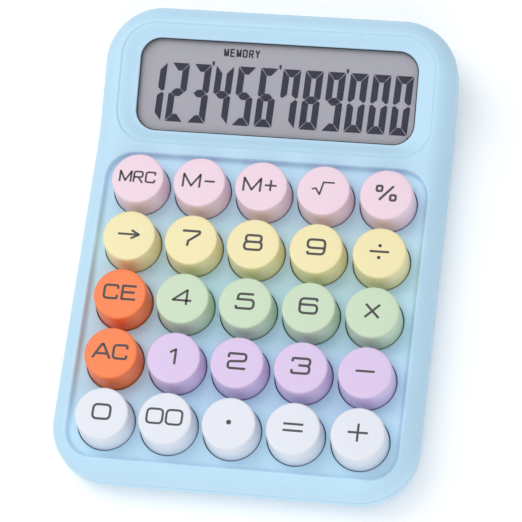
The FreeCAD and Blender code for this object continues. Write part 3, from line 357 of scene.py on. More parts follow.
for turn in quarter_turn[1:]:
    inset = WINDOW_SOFT * (np.sin(turn) - 1)
    rows.append(from_display(box_legs(WINDOW, ring_legs, inset),
                             FLARE_DEPTH + WINDOW_SOFT * (1 - np.cos(turn))))
rows.append(from_display(box_legs(WINDOW, ring_legs), LIP_UNDER))
rows.append(ring_underside(ring_legs))
shell.grid(rows)
shell.mirror()

# The keypad floor: a plate with a soft-edged round hole for every key, worked out once for both faces.
key_boxes = np.array([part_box(f"key_{name}") for names in KEY_ROWS for name in names]) / MM
key_centres = np.round(key_boxes.mean(axis=1)[:, :2], 2)


def plate_with_holes(edge, height, radius):
    """Triangles between a convex edge and the key holes, on a level plane."""
    loops = [edge] + [disc_plan(centre, radius, HOLE_SIDES) for centre in key_centres]
    starts = np.cumsum([0] + [len(loop) for loop in loops])
    sides = [np.column_stack([here, np.roll(here, -1)]) for here in map(np.arange, starts, starts[1:])]
    points = [Vector(point) for point in np.vstack(loops).tolist()]
    spots, _, triangles, *_ = delaunay_2d_cdt(points, np.vstack(sides).tolist(), [], 0, 1e-6)
    spots, triangles = np.array(spots), np.array(triangles)
    middles = spots[triangles].mean(axis=1)
    apart = np.hypot(*(middles[:, None] - key_centres[None]).transpose(2, 0, 1)).min(axis=1)
    flat_of_hole = radius * np.cos(np.pi / HOLE_SIDES)
    return lift(spots, height), triangles[apart > flat_of_hole - 0.004]


def turned_rows(centre, radii, heights, sides):
    """Rows of a surface turned about the upright line through a centre: a circle for each radius and its
    height, with its first point again at the end."""
    loops = [lift(disc_plan(centre, radius, sides), height) for radius, height in zip(radii, heights)]
    return [np.vstack([loop, loop[:1]]) for loop in loops]


def whole_loop(half):
    """A half loop and its mirror image as one closed loop without its two doubled points."""
    return np.vstack([half, (half * (-1, 1))[-2:0:-1]])


floor_edge = whole_loop(box_legs(RECESS, recess_legs, foot_inset + FLOOR_SOFT))
under_edge = whole_loop(box_legs(RECESS, recess_legs, RECESS_UNDER))
shell.triangles(*plate_with_holes(floor_edge, RECESS_FLOOR, KEY_HOLE_RADIUS + KEY_HOLE_SOFT))
shell.triangles(*plate_with_holes(under_edge, PLATE_UNDER, KEY_HOLE_RADIUS))
soft_turn = np.linspace(0, np.pi / 2, 4)
hole_radii = np.append(KEY_HOLE_RADIUS + KEY_HOLE_SOFT * (1 - np.sin(soft_turn)), KEY_HOLE_RADIUS)
hole_heights = np.append(RECESS_FLOOR - KEY_HOLE_SOFT * (1 - np.cos(soft_turn)), PLATE_UNDER)
for centre in key_centres:
    shell.grid(turned_rows(centre, hole_radii, hole_heights, HOLE_SIDES))


def shader_group(name, inputs, outputs):
    """A shader node group with its named inputs (name, socket kind, usual value) and outputs (name, kind)."""
    tree = bpy.data.node_groups.new(name, "ShaderNodeTree")
    for title, kind, usual in inputs:
        taken = tree.interface.new_socket(title, in_out="INPUT", socket_type="NodeSocket" + kind)
        taken.default_value = usual
    for title, kind in outputs:
        tree.interface.new_socket(title, in_out="OUTPUT", socket_type="NodeSocket" + kind)
    return tree, tree.nodes.new("NodeGroupInput").outputs, tree.nodes.new("NodeGroupOutput").inputs


def object_noise(tree, scale, detail):
    """Noise over the object's own coordinates; the scale is a number per metre or a socket."""
    place = tree.nodes.new("ShaderNodeTexCoord")
    noise = tree.nodes.new("ShaderNodeTexNoise")
    noise.inputs["Detail"].default_value = detail
    tree.links.new(place.outputs["Object"], noise.inputs["Vector"])
    if isinstance(scale, bpy.types.NodeSocket):
        tree.links.new(scale, noise.inputs["Scale"])
    else:
        noise.inputs["Scale"].default_value = scale
    return noise.outputs["Fac"]


def spread(tree, factor, middle, width):
    """Turns a 0 to 1 factor into the middle value plus or minus half the width; either may be a socket."""
    step = tree.nodes.new("ShaderNodeMath")
    step.operation = "SUBTRACT"
    tree.links.new(factor, step.inputs[0])
    step.inputs[1].default_value = 0.5
    sway = tree.nodes.new("ShaderNodeMath")
    sway.operation = "MULTIPLY_ADD"
    tree.links.new(step.outputs[0], sway.inputs[0])
    for socket, value in ((sway.inputs[1], width), (sway.inputs[2], middle)):
        if isinstance(value, bpy.types.NodeSocket):
            tree.links.new(value, socket)
        else:
            socket.default_value = value
    return sway.outputs[0]


def tinted(tree, colour, factor):
    """A colour made lighter or darker by a factor."""
    tint = tree.nodes.new("ShaderNodeVectorMath")
    tint.operation = "SCALE"
    tree.links.new(colour, tint.inputs[0])
    tree.links.new(factor, tint.inputs["Scale"])
    return tint.outputs[0]


# Moulded plastic: faint cloudy shade from the melt, and a fine spark-eroded grain that breaks up the shine.
moulded, given, gives = shader_group(
    "Moulded surface",
    [("Colour", "Color", (0.8, 0.8, 0.8, 1)), ("Roughness", "Float", 0.45), ("Cloud", "Float", 0.02),
     ("Grain per metre", "Float", 3500.0)],
    [("Colour", "Color"), ("Roughness", "Float"), ("Height", "Float")])
grain = object_noise(moulded, given["Grain per metre"], 3.0)
cloud = object_noise(moulded, 55.0, 2.0)
shade = spread(moulded, cloud, 1.0, given["Cloud"])
moulded.links.new(tinted(moulded, given["Colour"], shade), gives["Colour"])
moulded.links.new(spread(moulded, grain, given["Roughness"], 0.12), gives["Roughness"])
moulded.links.new(grain, gives["Height"])


def linear(red, green, blue):
    """Display colour, 0 to 255 a channel, as the linear colour that shaders take."""
    shares = np.array([red, green, blue]) / 255
    return (*np.where(shares > 0.04045, ((shares + 0.055) / 1.055) ** 2.4, shares / 12.92).tolist(), 1.0)


def surface_material(name, group, bump_depth, settings, shader=()):
    """A Principled material fed by one surface group, with its grain as a bump of the given depth in mm."""
    material = bpy.data.materials.new(name)
    material.use_nodes = True
    tree = material.node_tree
    skin = tree.nodes["Principled BSDF"]
    made = tree.nodes.new("ShaderNodeGroup")
    made.node_tree = group
    for title, value in settings:
        made.inputs[title].default_value = value
    for title, value in shader:
        skin.inputs[title].default_value = value
    bump = tree.nodes.new("ShaderNodeBump")
    bump.inputs["Distance"].default_value = bump_depth * MM
    tree.links.new(made.outputs["Colour"], skin.inputs["Base Color"])
    tree.links.new(made.outputs["Roughness"], skin.inputs["Roughness"])
    tree.links.new(made.outputs["Height"], bump.inputs["Height"])
    tree.links.new(bump.outputs["Normal"], skin.inputs["Normal"])
    if "Metallic" in made.outputs:
        tree.links.new(made.outputs["Metallic"], skin.inputs["Metallic"])
    return material


def give(thing, material):
    """The object's one material."""
    thing.data.materials.clear()
    thing.data.materials.append(material)


CASE_BLUE = linear(190, 226, 247)
case_plastic = surface_material("satin_blue_plastic", moulded, 0.01,
                                [("Colour", CASE_BLUE), ("Roughness", 0.46), ("Cloud", 0.02)])
front_shell = shell.piece("front_shell")
give(front_shell, case_plastic)
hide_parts("front_housing")
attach(front_shell, "case")

# ------------------------------------------------------------------ painted shade in the key gaps
# A thin dark ring set into each key hole under the plate's edge: painted shade. It fills the running gap
# below the soft hole edge, so the gap round every key reads as a fine dark line of shade.
GAP_SHADE_INNER = 8.56
GAP_SHADE_OUTER = KEY_HOLE_RADIUS - 0.01
GAP_SHADE_TOP = 13.1
GAP_SHADE_SLOPE = 0.1
GAP_SHADE_FOOT = 11.9
key_gap_shade_patches = Patchwork()
gap_shade_radii = (GAP_SHADE_OUTER, GAP_SHADE_INNER, GAP_SHADE_INNER, GAP_SHADE_OUTER, GAP_SHADE_OUTER)
gap_shade_heights = (GAP_SHADE_TOP, GAP_SHADE_TOP - GAP_SHADE_SLOPE, GAP_SHADE_FOOT, GAP_SHADE_FOOT, GAP_SHADE_TOP)
for centre in key_centres:
    key_gap_shade_patches.grid(turned_rows(centre, gap_shade_radii, gap_shade_heights, HOLE_SIDES))
key_gap_shade_rings = key_gap_shade_patches.piece("key_gap_shade_rings")
key_gap_shade_rings.data.set_sharp_from_angle(angle=np.radians(40))
# The dark rubber colour is painted shade: it darkens the gaps round the keys.
gap_shade_rubber = surface_material("painted_gap_shade_rubber", moulded, 0.004,
                               [("Colour", linear(24, 26, 30)), ("Roughness", 0.8), ("Cloud", 0.05)])
give(key_gap_shade_rings, gap_shade_rubber)
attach(key_gap_shade_rings, "case")

# ------------------------------------------------------------------ keys
# Twenty-five round moulded keycaps, each a hollow cup with a soft top edge, a slight taper, a flange under
# the keypad plate and a stem that presses its dome. Each one rides its own sprung body.
KEY_TOP = round(key_boxes[:, 1, 2].max(), 2)
KEY_SIDES = 96
KEY_EDGE = 0.55
KEY_TOP_RADIUS = 7.98
KEY_SKIRT_RADIUS = 8.5
TAPER_FOOT = 13.8
FLANGE_RADIUS = 9.1
FLANGE_TOP = 11.7
FLANGE_FOOT = 10.7
FLANGE_SOFT = 0.1
CUP_FOOT_RADIUS = 7.3
CUP_TOP_RADIUS = 6.9
CUP_TOP = 20.4
STEM_RADIUS = 2.4
STEM_FOOT = 11.0
STEM_SOFT = 0.2
ROW_PLASTICS = ("pink", "yellow", "green", "lilac", "white")
KEY_COLOURS = {"pink": (242, 214, 228), "yellow": (245, 232, 178), "green": (204, 224, 194),
               "lilac": (223, 200, 236), "white": (230, 233, 242), "orange": (253, 130, 68)}
key_plastics = {}
for name, colour in KEY_COLOURS.items():
    key_plastics[name] = surface_material(f"satin_{name}_plastic", moulded, 0.008, [
        ("Colour", linear(*colour)), ("Roughness", 0.4), ("Cloud", 0.015)])

# The cap's outline from the middle of its top, over the soft edge, down the skirt, round the flange and up
# inside the cup to the stem.
bend = np.linspace(0, np.pi / 2, 8)
cap_radii = np.concatenate([
    (0, 2.5, 5.0), KEY_TOP_RADIUS - KEY_EDGE * (1 - np.sin(bend)), (KEY_SKIRT_RADIUS, KEY_SKIRT_RADIUS),
    (FLANGE_RADIUS - FLANGE_SOFT, FLANGE_RADIUS, FLANGE_RADIUS, FLANGE_RADIUS - FLANGE_SOFT),
    (CUP_FOOT_RADIUS, CUP_TOP_RADIUS, STEM_RADIUS, STEM_RADIUS, STEM_RADIUS - STEM_SOFT, 0)])
cap_heights = np.concatenate([
    (KEY_TOP, KEY_TOP, KEY_TOP), KEY_TOP - KEY_EDGE * (1 - np.cos(bend)), (TAPER_FOOT, FLANGE_TOP),
    (FLANGE_TOP, FLANGE_TOP - FLANGE_SOFT, FLANGE_FOOT + FLANGE_SOFT, FLANGE_FOOT),
    (FLANGE_FOOT, CUP_TOP, CUP_TOP, STEM_FOOT + STEM_SOFT, STEM_FOOT, STEM_FOOT)])
key_places = {}
for row, names in enumerate(KEY_ROWS):
    for column, name in enumerate(names):
        centre = key_centres[row * 5 + column]
        plastic = "orange" if name in ("clear_entry", "all_clear") else ROW_PLASTICS[row]
        cup = Patchwork()
        cup.grid(turned_rows(centre, cap_radii, cap_heights, KEY_SIDES))
        keycap = cup.piece(f"keycap_{name}")
        keycap.data.set_sharp_from_angle(angle=np.radians(50))
        give(keycap, key_plastics[plastic])
        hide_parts(f"key_{name}")
        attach(keycap, f"key_{name}_body")
        key_places[name] = centre

# ------------------------------------------------------------------ key legends
# Thin pad-printed marks on the keycaps, generic numbers and operators: strokes of even width with squared
# bowls, each a flat ribbon just above the cap, so that it can ride with its key.
INK = linear(70, 66, 70)
INK_LIFT = 0.02
INK_LAYER = 0.004
CORNER_WEIGHT = 1.15
printed = surface_material("legend_ink", moulded, 0.004,
                           [("Colour", INK), ("Roughness", 0.5), ("Cloud", 0.06)])


def rounded_path(corners, radius, closed):
    """Points of a polyline whose corners are turned with arcs of a radius, shortened to fit short legs."""
    corners = np.asarray(corners, float)
    points = []
    for i, corner in enumerate(corners):
        if not closed and i in (0, len(corners) - 1):
            points.append(corner[None])
            continue
        back, ahead = corners[i - 1] - corner, corners[(i + 1) % len(corners)] - corner
        back_length, ahead_length = np.hypot(*back), np.hypot(*ahead)
        back, ahead = back / back_length, ahead / ahead_length
        half = np.arccos(np.clip(back @ ahead, -1, 1)) / 2
        reach = min(radius / np.tan(half), 0.49 * back_length, 0.49 * ahead_length)
        share = np.linspace(0, 1, 9)[:, None]
        # A weighted blend from leg to leg leans outwards, like the squared bowls of the type.
        first, middle, last = (1 - share) ** 2, 2 * CORNER_WEIGHT * share * (1 - share), share ** 2
        blend = first * (corner + back * reach) + middle * corner + last * (corner + ahead * reach)
        points.append(blend / (first + middle + last))
    return np.vstack(points)


def stroke_sides(path, width, closed):
    """Left and right sides of a stroke along a path, mitred where it turns."""
    if closed:
        path = np.vstack([path, path[:1]])
    legs = np.diff(path, axis=0)
    legs /= np.hypot(*legs.T)[:, None]
    before = np.vstack([legs[-1:] if closed else legs[:1], legs])
    after = np.vstack([legs, legs[:1] if closed else legs[-1:]])
    across = before + after
    across = np.column_stack([-across[:, 1], across[:, 0]])
    across *= (width / (1 + (before * after).sum(axis=1)))[:, None] / 2
    return path + across, path - across


# Glyph strokes in a box one unit high and one unit wide: (closed, corner radius, corners).
GLYPHS = {
    "0": [(True, 0.3, [(0, 0), (1, 0), (1, 1), (0, 1)])],
    "1": [(False, 0.02, [(0.25, 0.76), (0.62, 1.0), (0.62, -0.06)])],
    "2": [(False, 0.28, [(0, 0.72), (0, 1), (1, 1), (1, 0.52), (0, 0.46), (0, 0), (1.03, 0)])],
    "3": [(False, 0.28, [(0, 0.76), (0, 1), (1, 1), (1, 0.53), (0.36, 0.53)]),
          (False, 0.28, [(0.36, 0.53), (1, 0.53), (1, 0), (0, 0), (0, 0.25)])],
    "4": [(False, 0.02, [(0.78, -0.06), (0.78, 1.0), (0, 0.25), (1.06, 0.25)])],
    "5": [(False, 0.28, [(0.96, 1), (0.08, 1), (0.04, 0.56)]),
          (False, 0.28, [(0.04, 0.56), (0.05, 0.62), (1, 0.62), (1, 0), (0, 0), (0, 0.2)])],
    "6": [(False, 0.28, [(0.97, 0.82), (0.95, 1), (0, 1), (0, 0), (1, 0), (1, 0.58), (0.05, 0.58)])],
    "7": [(False, 0.1, [(-0.03, 1), (0.98, 1), (0.98, 0.84), (0.36, 0.3), (0.33, -0.06)])],
    "8": [(True, 0.26, [(0.05, 0.54), (0.95, 0.54), (0.95, 1), (0.05, 1)]),
          (True, 0.28, [(0, 0), (1, 0), (1, 0.54), (0, 0.54)])],
    "9": [(False, 0.28, [(0.03, 0.18), (0.05, 0), (1, 0), (1, 1), (0, 1), (0, 0.42), (0.95, 0.42)])],
    "M": [(False, 0.01, [(0, -0.06), (0, 1.0), (0.5, 0.06), (1, 1.0), (1, -0.06)])],
    "R": [(False, 0.24, [(0, -0.06), (0, 1), (0.96, 1), (0.96, 0.46), (0.02, 0.46)]),
          (False, 0.02, [(0.5, 0.46), (1.02, -0.1)])],
    "C": [(False, 0.3, [(0.98, 0.72), (0.98, 1), (0, 1), (0, 0), (0.98, 0), (0.98, 0.28)])],
    "E": [(False, 0.02, [(1, 1), (0, 1), (0, 0), (1.02, 0)]), (False, 0.02, [(0, 0.52), (0.92, 0.52)])],
    "A": [(False, 0.02, [(-0.05, -0.06), (0.45, 1.0), (0.55, 1.0), (1.05, -0.06)]),
          (False, 0.02, [(0.15, 0.3), (0.85, 0.3)])],
    "Y": [(False, 0.02, [(-0.02, 1.06), (0.5, 0.46), (0.5, -0.06)]),
          (False, 0.02, [(1.02, 1.06), (0.5, 0.46)])],
    "O": [(True, 0.3, [(0, 0), (1, 0), (1, 1), (0, 1)])],
    "-": [(False, 0.02, [(0, 0.5), (1, 0.5)])],
    "+": [(False, 0.02, [(0, 0.5), (1, 0.5)]), (False, 0.02, [(0.5, 0), (0.5, 1)])],
    "x": [(False, 0.02, [(0, 0), (1, 1)]), (False, 0.02, [(0, 1), (1, 0)])],
    "=": [(False, 0.02, [(0, 0.25), (1, 0.25)]), (False, 0.02, [(0, 0.75), (1, 0.75)])],
    "/": [(False, 0.02, [(0, 0), (1, 1)])],
    "root": [(False, 0.02, [(-0.12, 0.42), (0.1, 0.5), (0.34, 0.02), (0.5, 1.0), (1.12, 1.0)])],
    "arrow": [(False, 0.02, [(0, 0.5), (1, 0.5)]), (False, 0.02, [(0.62, 0.84), (1, 0.5), (0.62, 0.16)])],
}
DOT = "dot"


def ink_rows(marks, centre, height, stroke):
    """Ribbons, each a left and a right row of points, for marks given as (glyph, left, bottom, width, tall)
    in mm about a centre on the cap. Each ribbon lies a hair above the one before."""
    sheets = []
    for glyph, left, bottom, width, tall in marks:
        if glyph == DOT:
            turn = np.linspace(0, 2 * np.pi, 33)
            rim = np.column_stack([width * np.cos(turn), tall * np.sin(turn)]) / 2
            sheets.append((rim + (left, bottom), np.zeros_like(rim) + (left, bottom)))
            continue
        for closed, radius, corners in GLYPHS[glyph]:
            spots = np.asarray(corners, float) * (width, tall) + (left, bottom)
            sheets.append(stroke_sides(rounded_path(spots, radius * width, closed), stroke, closed))
    return [[lift(side + centre, height + INK_LAYER * layer) for side in reversed(sides)]
            for layer, sides in enumerate(sheets)]


# Marks on each key: the stroke's width, then glyph, left edge, foot, width and height of its centre line.
LEGENDS = {
    "memory_recall": (0.6, [("M", -5.5, -1.6, 3.4, 3.3), ("R", -1.2, -1.6, 2.7, 3.3),
                            ("C", 2.5, -1.6, 2.8, 3.3)]),
    "memory_minus": (0.64, [("M", -4.9, -2.0, 5.1, 4.1), ("-", 1.6, -2.1, 3.2, 4.2)]),
    "memory_plus": (0.64, [("M", -5.3, -2.0, 5.1, 4.1), ("+", 1.1, -1.8, 3.6, 3.6)]),
    "square_root": (0.55, [("root", -2.9, -1.9, 5.4, 4.1)]),
    "percent": (0.74, [("0", -3.0, 0.6, 1.6, 1.7), ("0", 1.3, -2.2, 1.6, 1.7),
                       ("/", -2.0, -2.3, 4.0, 4.7)]),
    "backspace": (0.68, [("arrow", -3.4, -2.0, 6.5, 4.0)]),
    "divide": (0.7, [("-", -2.9, -0.1, 5.8, 0.2), (DOT, 0, 1.9, 1.1, 1.1), (DOT, 0, -1.9, 1.1, 1.1)]),
    "clear_entry": (0.74, [("C", -4.8, -2.0, 4.1, 4.2), ("E", 0.7, -2.0, 4.1, 4.2)]),
    "all_clear": (0.74, [("A", -5.1, -2.0, 4.8, 4.2), ("C", 0.8, -2.0, 4.1, 4.2)]),
    "multiply": (0.72, [("x", -2.1, -2.1, 4.2, 4.2)]),
    "subtract": (0.7, [("-", -2.8, -0.1, 5.6, 0.2)]),
    "0": (0.72, [("0", -2.6, -2.1, 5.2, 4.4)]),
    "00": (0.66, [("0", -5.4, -2.1, 4.7, 4.4), ("0", 0.4, -2.1, 4.7, 4.4)]),
    "point": (0.7, [(DOT, 0, 0, 1.5, 1.5)]),
    "equals": (0.68, [("=", -2.95, -2.0, 5.9, 4.0)]),
    "add": (0.68, [("+", -2.95, -2.75, 5.9, 5.5)]),
}
LEGENDS.update({digit: (0.76, [(digit, -2.6, -2.2, 5.2, 4.6)]) for digit in "2356789"})
LEGENDS["1"] = (0.72, [("1", -2.4, -2.2, 4.6, 4.5)])
LEGENDS["4"] = (0.68, [("4", -2.85, -2.2, 5.4, 4.5)])
LEGEND_UP = 0.35
for name, (stroke, marks) in LEGENDS.items():
    sheet = Patchwork()
    for pair in ink_rows(marks, key_places[name] + (0, LEGEND_UP), KEY_TOP + INK_LIFT, stroke):
        sheet.grid(pair)
    legend = sheet.piece(f"legend_{name}", film=True)
    give(legend, printed)
    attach(legend, f"key_{name}_body")

# ------------------------------------------------------------------ display
# Behind the window: a grey-violet liquid crystal panel in the tilted display plane, with dark segments just
# above it; the level bars are thicker than the upright ones, and thin clear gaps part them.
DIGITS = "123456789000"
CELL_PITCH = 6.98
DIGIT_WIDE = 5.55
DIGIT_TALL = 18.4
DIGIT_FOOT = 3.7
LAST_RIGHT = 40.95
BAR_THICK = 2.42
SIDE_THICK = 2.08
SEGMENT_GAP = 0.08
LEAN = np.tan(np.radians(2.8))
PANEL_TOP = 3.55
SEGMENT_DEPTH = PANEL_TOP - 0.03
LIT = {"0": "abcdef", "1": "bc", "2": "abged", "3": "abgcd", "4": "fgbc", "5": "afgcd", "6": "afgedc",
       "7": "abcf", "8": "abcdefg", "9": "abcdfg"}


def segment_shapes(wide, tall, gap):
    """The seven mitred bars of a digit, as closed outlines: level bars thicker than the upright ones."""
    middle, half, shoulder, tip = tall / 2, BAR_THICK / 2, SIDE_THICK, 0.35 * SIDE_THICK
    top = [(2 * gap, tall), (wide - 2 * gap, tall), (wide - shoulder - gap, tall - BAR_THICK),
           (shoulder + gap, tall - BAR_THICK)]
    side = [(wide, tall - 2 * gap), (wide, middle + gap + 0.45 * half), (wide - tip, middle + 1.6 * gap),
            (wide - shoulder, middle + half + gap), (wide - shoulder, tall - BAR_THICK - 0.6 * gap)]
    bar = [(tip + gap, middle), (shoulder, middle + half), (wide - shoulder, middle + half),
           (wide - tip - gap, middle), (wide - shoulder, middle - half), (shoulder, middle - half)]
    other_side = [(wide - x, y) for x, y in side]
    upper = {"a": top, "b": side, "f": other_side}
    lower = {low: [(x, tall - y) for x, y in upper[high]]
             for low, high in (("d", "a"), ("c", "b"), ("e", "f"))}
    return upper | lower | {"g": bar}


def leaning(points, x, foot):
    """Digit-box points slanted to the right and set in the display plane."""
    points = np.asarray(points, float)
    return np.column_stack([points[:, 0] + points[:, 1] * LEAN + x, points[:, 1] + foot])


def fan(outline):
    """Triangles of a convex outline, all from its first corner."""
    second = np.arange(1, len(outline) - 1)
    return np.column_stack([np.zeros_like(second), second, second + 1])


shapes = segment_shapes(DIGIT_WIDE, DIGIT_TALL, SEGMENT_GAP)
first_x = LAST_RIGHT - DIGIT_WIDE - CELL_PITCH * (len(DIGITS) - 1)
segments = Patchwork()
outlines = []
for place, digit in enumerate(DIGITS):
    outlines += [leaning(shapes[bar], first_x + CELL_PITCH * place, DIGIT_FOOT) for bar in LIT[digit]]
DIGIT_MARK = [(0.55, 0), (0.8, 0.6), (0.85, 1.3), (0.6, 1.7), (0.2, 1.7), (-0.05, 1.3), (0.1, 0.7)]
MARK_LEFT = 0.62
MARK_DROP = 0.5
for place in (3, 6, 9):
    outlines.append(leaning(DIGIT_MARK, first_x + CELL_PITCH * place - MARK_LEFT,
                            DIGIT_FOOT + DIGIT_TALL - MARK_DROP))
POINT = [(0, 0), (0.8, 0), (0.8, 0.8), (0, 0.8)]
outlines.append(leaning(POINT, LAST_RIGHT + 0.05, DIGIT_FOOT - 1.2))
for outline in outlines:
    segments.triangles(from_display(outline, SEGMENT_DEPTH), fan(outline))
WORD = "MEMORY"
WORD_LEFT = -17.4
WORD_FOOT = 25.1
WORD_PITCH = 1.95
LETTER_WIDE = 1.1
LETTER_TALL = 2.1
LETTER_STROKE = 0.48
LETTER_LAYER_SHARE = 0.2
for place, letter in enumerate(WORD):
    marks = [(letter, WORD_LEFT + WORD_PITCH * place, WORD_FOOT, LETTER_WIDE, LETTER_TALL)]
    for pair in ink_rows(marks, (0, 0), 0.0, LETTER_STROKE):
        segments.grid([from_display(side[:, :2], SEGMENT_DEPTH - side[0, 2] * LETTER_LAYER_SHARE)
                       for side in pair])
lcd_segments = segments.piece("lcd_segments", film=True)
segment_dye = surface_material("segment_dye", moulded, 0.001,
                               [("Colour", linear(50, 50, 66)), ("Roughness", 0.5), ("Cloud", 0.05)],
                               [("Specular IOR Level", 0.2)])
give(lcd_segments, segment_dye)
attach(lcd_segments, "case")

panel_glass = surface_material("liquid_crystal_grey", moulded, 0.001,
                               [("Colour", linear(165, 164, 174)), ("Roughness", 0.45), ("Cloud", 0.05)])

# ------------------------------------------------------------------ painted shade at the window edge
# A thin black ring that lines the window's edge down to the lens, as painted shade: it makes the deep gap
# at the window's inner wall read as a dark line. It is a closed ring of small rectangular section that
# follows the window's rounded outline.
EDGE_SHADE_GAP = 0.02
EDGE_SHADE_WIDE = 0.3
EDGE_SHADE_TOP = 2.0
EDGE_SHADE_SLOPE = 0.06
EDGE_SHADE_FOOT = 2.4
LOOP_END = 8.999999
window_edge_shade_patches = Patchwork()
section = [(EDGE_SHADE_GAP, EDGE_SHADE_TOP), (EDGE_SHADE_WIDE, EDGE_SHADE_TOP + EDGE_SHADE_SLOPE), (EDGE_SHADE_WIDE, EDGE_SHADE_FOOT),
           (EDGE_SHADE_GAP, EDGE_SHADE_FOOT), (EDGE_SHADE_GAP, EDGE_SHADE_TOP)]
whole_legs = steps_between(0, 4, 1, 16, 2, 4, 3, 16, 4, 4, 5, 16, 6, 4, 7, 16, 8, 4, LOOP_END)
window_edge_shade_patches.grid([from_display(box_legs(WINDOW, whole_legs, inset), depth) for inset, depth in section])
window_edge_shade_ring = window_edge_shade_patches.piece("window_edge_shade_ring")
window_edge_shade_ring.data.set_sharp_from_angle(angle=np.radians(40))
# This black is the adhesive film's own colour, and painted shade on the window edge ring.
black_plastic_and_edge_shade = surface_material("black_satin_plastic_and_edge_shade", moulded, 0.004,
                                 [("Colour", linear(34, 34, 40)), ("Roughness", 0.45), ("Cloud", 0.05)])
give(window_edge_shade_ring, black_plastic_and_edge_shade)
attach(window_edge_shade_ring, "case")

# ------------------------------------------------------------------ window lens
# The clear moulded lens keeps its CAD shape. It shows only the faint mirror sheen of its outer face, which
# grows at a glancing view. Lamps see it as fully clear, so that it throws no shade on the panel.
LENS_SHEEN_INDEX = 1.14
lens = surface_material("clear_lens", moulded, 0.0005,
                        [("Colour", (0.97, 0.97, 0.98, 1)), ("Roughness", 0.08), ("Cloud", 0.01)],
                        [("Metallic", 1.0)])
tree = lens.node_tree
sheen = tree.nodes.new("ShaderNodeFresnel")
sheen.inputs["IOR"].default_value = LENS_SHEEN_INDEX
rays = tree.nodes.new("ShaderNodeLightPath")
facing = tree.nodes.new("ShaderNodeNewGeometry")
outer_face = tree.nodes.new("ShaderNodeMath")
outer_face.operation = "SUBTRACT"
outer_face.inputs[0].default_value = 1.0
tree.links.new(facing.outputs["Backfacing"], outer_face.inputs[1])
seen_share = tree.nodes.new("ShaderNodeMath")
seen_share.operation = "MULTIPLY"
tree.links.new(rays.outputs["Is Camera Ray"], seen_share.inputs[0])
tree.links.new(outer_face.outputs[0], seen_share.inputs[1])
opacity = tree.nodes.new("ShaderNodeMath")
opacity.operation = "MULTIPLY"
tree.links.new(sheen.outputs["Fac"], opacity.inputs[0])
tree.links.new(seen_share.outputs[0], opacity.inputs[1])
tree.links.new(opacity.outputs[0], tree.nodes["Principled BSDF"].inputs["Alpha"])

# ------------------------------------------------------------------ parts that keep their CAD shape
# The back shell, battery door, feet, screws and everything inside keep the shape they are built with and
# take materials: moulded plastics and rubbers, films, and metals with a drawn or rolled surface.
worked, given, gives = shader_group(
    "Worked metal",
    [("Colour", "Color", (0.6, 0.6, 0.6, 1)), ("Roughness", "Float", 0.3), ("Cloud", "Float", 0.06),
     ("Grain per metre", "Float", 2600.0)],
    [("Colour", "Color"), ("Roughness", "Float"), ("Height", "Float"), ("Metallic", "Float")])
scratch = object_noise(worked, given["Grain per metre"], 6.0)
patina = object_noise(worked, 240.0, 3.0)
shade = spread(worked, patina, 1.0, given["Cloud"])
worked.links.new(tinted(worked, given["Colour"], shade), gives["Colour"])
worked.links.new(spread(worked, scratch, given["Roughness"], 0.2), gives["Roughness"])
worked.links.new(scratch, gives["Height"])
worked.links.new(spread(worked, patina, 0.97, 0.04), gives["Metallic"])


def plain(name, colour, roughness, cloud=0.04, group=moulded, bump=0.005):
    """A material for a part that keeps its CAD shape."""
    return surface_material(name, group, bump, [("Colour", linear(*colour)), ("Roughness", roughness),
                                                ("Cloud", cloud)])


steel = plain("zinc_plated_steel", (186, 188, 190), 0.28, group=worked, bump=0.004)
nickel = plain("nickel_plate", (198, 192, 178), 0.22, group=worked)
foot_rubber = plain("grey_foot_rubber", (168, 176, 182), 0.85, cloud=0.08, bump=0.02)
kept_parts = {
    case_plastic: ("back_housing", "battery_door"),
    lens: ("display_window",),
    panel_glass: ("lcd_panel",),
    black_plastic_and_edge_shade: ("window_adhesive",),
    plain("reflector_foil", (205, 206, 204), 0.3): ("lcd_reflector",),
    plain("grey_inner_plastic", (208, 212, 214), 0.5): ("lcd_frame",),
    plain("amber_ribbon_film", (186, 120, 44), 0.35): ("lcd_ribbon",),
    plain("green_solder_mask", (32, 92, 58), 0.35, cloud=0.12): ("main_board",),
    plain("translucent_silicone", (214, 216, 214), 0.6): ("dome_mat",),
    plain("carbon_rubber", (36, 36, 38), 0.8): ("contact_pills",),
    plain("black_resin", (26, 26, 28), 0.3): ("processor_cover",),
    plain("black_ceramic", (30, 30, 34), 0.4): ("chip_resistors",),
    plain("aluminium_can", (200, 200, 204), 0.25, group=worked): ("smoothing_capacitor",),
    steel: ("case_screws", "board_screws", "frame_screws"),
    foot_rubber: ("rubber_feet",),
    plain("cell_jacket", (58, 88, 128), 0.35): ("battery_cell",),
    nickel: ("battery_contact_positive", "battery_contact_spring"),
    plain("red_insulation", (176, 40, 36), 0.5): ("lead_red",),
    plain("black_insulation", (32, 32, 34), 0.5): ("lead_black",),
}
for material, names in kept_parts.items():
    for name in names:
        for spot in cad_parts[name].material_slots:
            spot.material = material

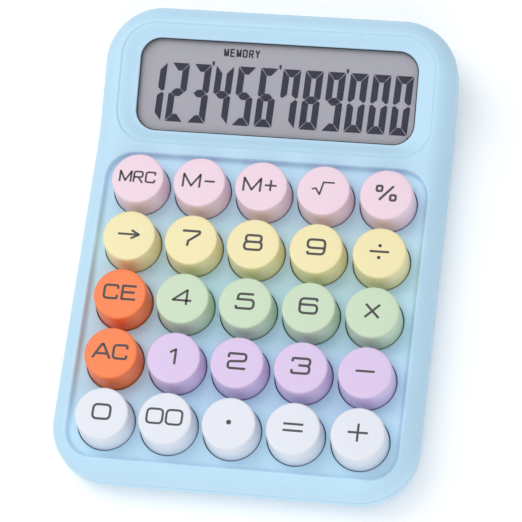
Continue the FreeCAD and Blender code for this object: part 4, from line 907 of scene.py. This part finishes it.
# ------------------------------------------------------------------ floor, light and camera
# A plain pale floor that glows faintly, a pale surround, a wide soft lamp high on the left, one overhead
# and a low fill from the front. The camera stands well back with a long lens.
FLOOR_HALF = 3.0
floor_mesh = bpy.data.meshes.new("floor")
floor_mesh.from_pydata([(-FLOOR_HALF, -FLOOR_HALF, 0), (FLOOR_HALF, -FLOOR_HALF, 0),
                        (FLOOR_HALF, FLOOR_HALF, 0), (-FLOOR_HALF, FLOOR_HALF, 0)], [], [(0, 1, 2, 3)])
floor = bpy.data.objects.new("floor", floor_mesh)
bpy.context.scene.collection.objects.link(floor)
give(floor, surface_material("pale_floor", moulded, 0.001,
                             [("Colour", (0.99, 0.99, 0.99, 1)), ("Roughness", 0.9), ("Cloud", 0.01)],
                             [("Emission Color", (0.97, 0.98, 1.0, 1)), ("Emission Strength", 0.1)]))

world = bpy.data.worlds.new("studio")
world.use_nodes = True
surround = world.node_tree.nodes["Background"]
surround.inputs["Color"].default_value = (0.96, 0.98, 1.0, 1)
surround.inputs["Strength"].default_value = 0.48
bpy.context.scene.world = world
LAMPS_AIM_AT = Vector((0, 0, 0.02))


def soft_lamp(name, place, width, power):
    """A square area lamp, in metres and watts, turned to the middle of the object."""
    lamp = bpy.data.lights.new(name, "AREA")
    lamp.size = width
    lamp.energy = power
    holder = bpy.data.objects.new(name, lamp)
    bpy.context.scene.collection.objects.link(holder)
    turn = (Vector(place) - LAMPS_AIM_AT).to_track_quat("Z", "Y")
    holder.matrix_world = Matrix.Translation(place) @ turn.to_matrix().to_4x4()


soft_lamp("key_light", (-0.65, 0.35, 0.9), 0.9, 4.2)
soft_lamp("fill_light", (0.25, -0.95, 0.6), 0.9, 3.8)
soft_lamp("top_light", (-0.1, 0.1, 1.3), 1.0, 3.8)

CAMERA_PLACE = np.array([137.785, -301.94, 775.87]) * MM
camera = bpy.data.cameras.new("camera")
camera.lens = 190.03
camera.sensor_width = 36.0
camera.clip_start = 0.05
viewer = bpy.data.objects.new("camera", camera)
bpy.context.scene.collection.objects.link(viewer)
turn = Matrix(((0.983928, -0.070026, 0.164265),
               (0.125754, 0.924827, -0.359000),
               (-0.126777, 0.373887, 0.918769)))
viewer.matrix_world = Matrix.Translation(CAMERA_PLACE.tolist()) @ turn.to_4x4()
bpy.context.scene.camera = viewer
bpy.context.scene.view_settings.view_transform = "Standard"
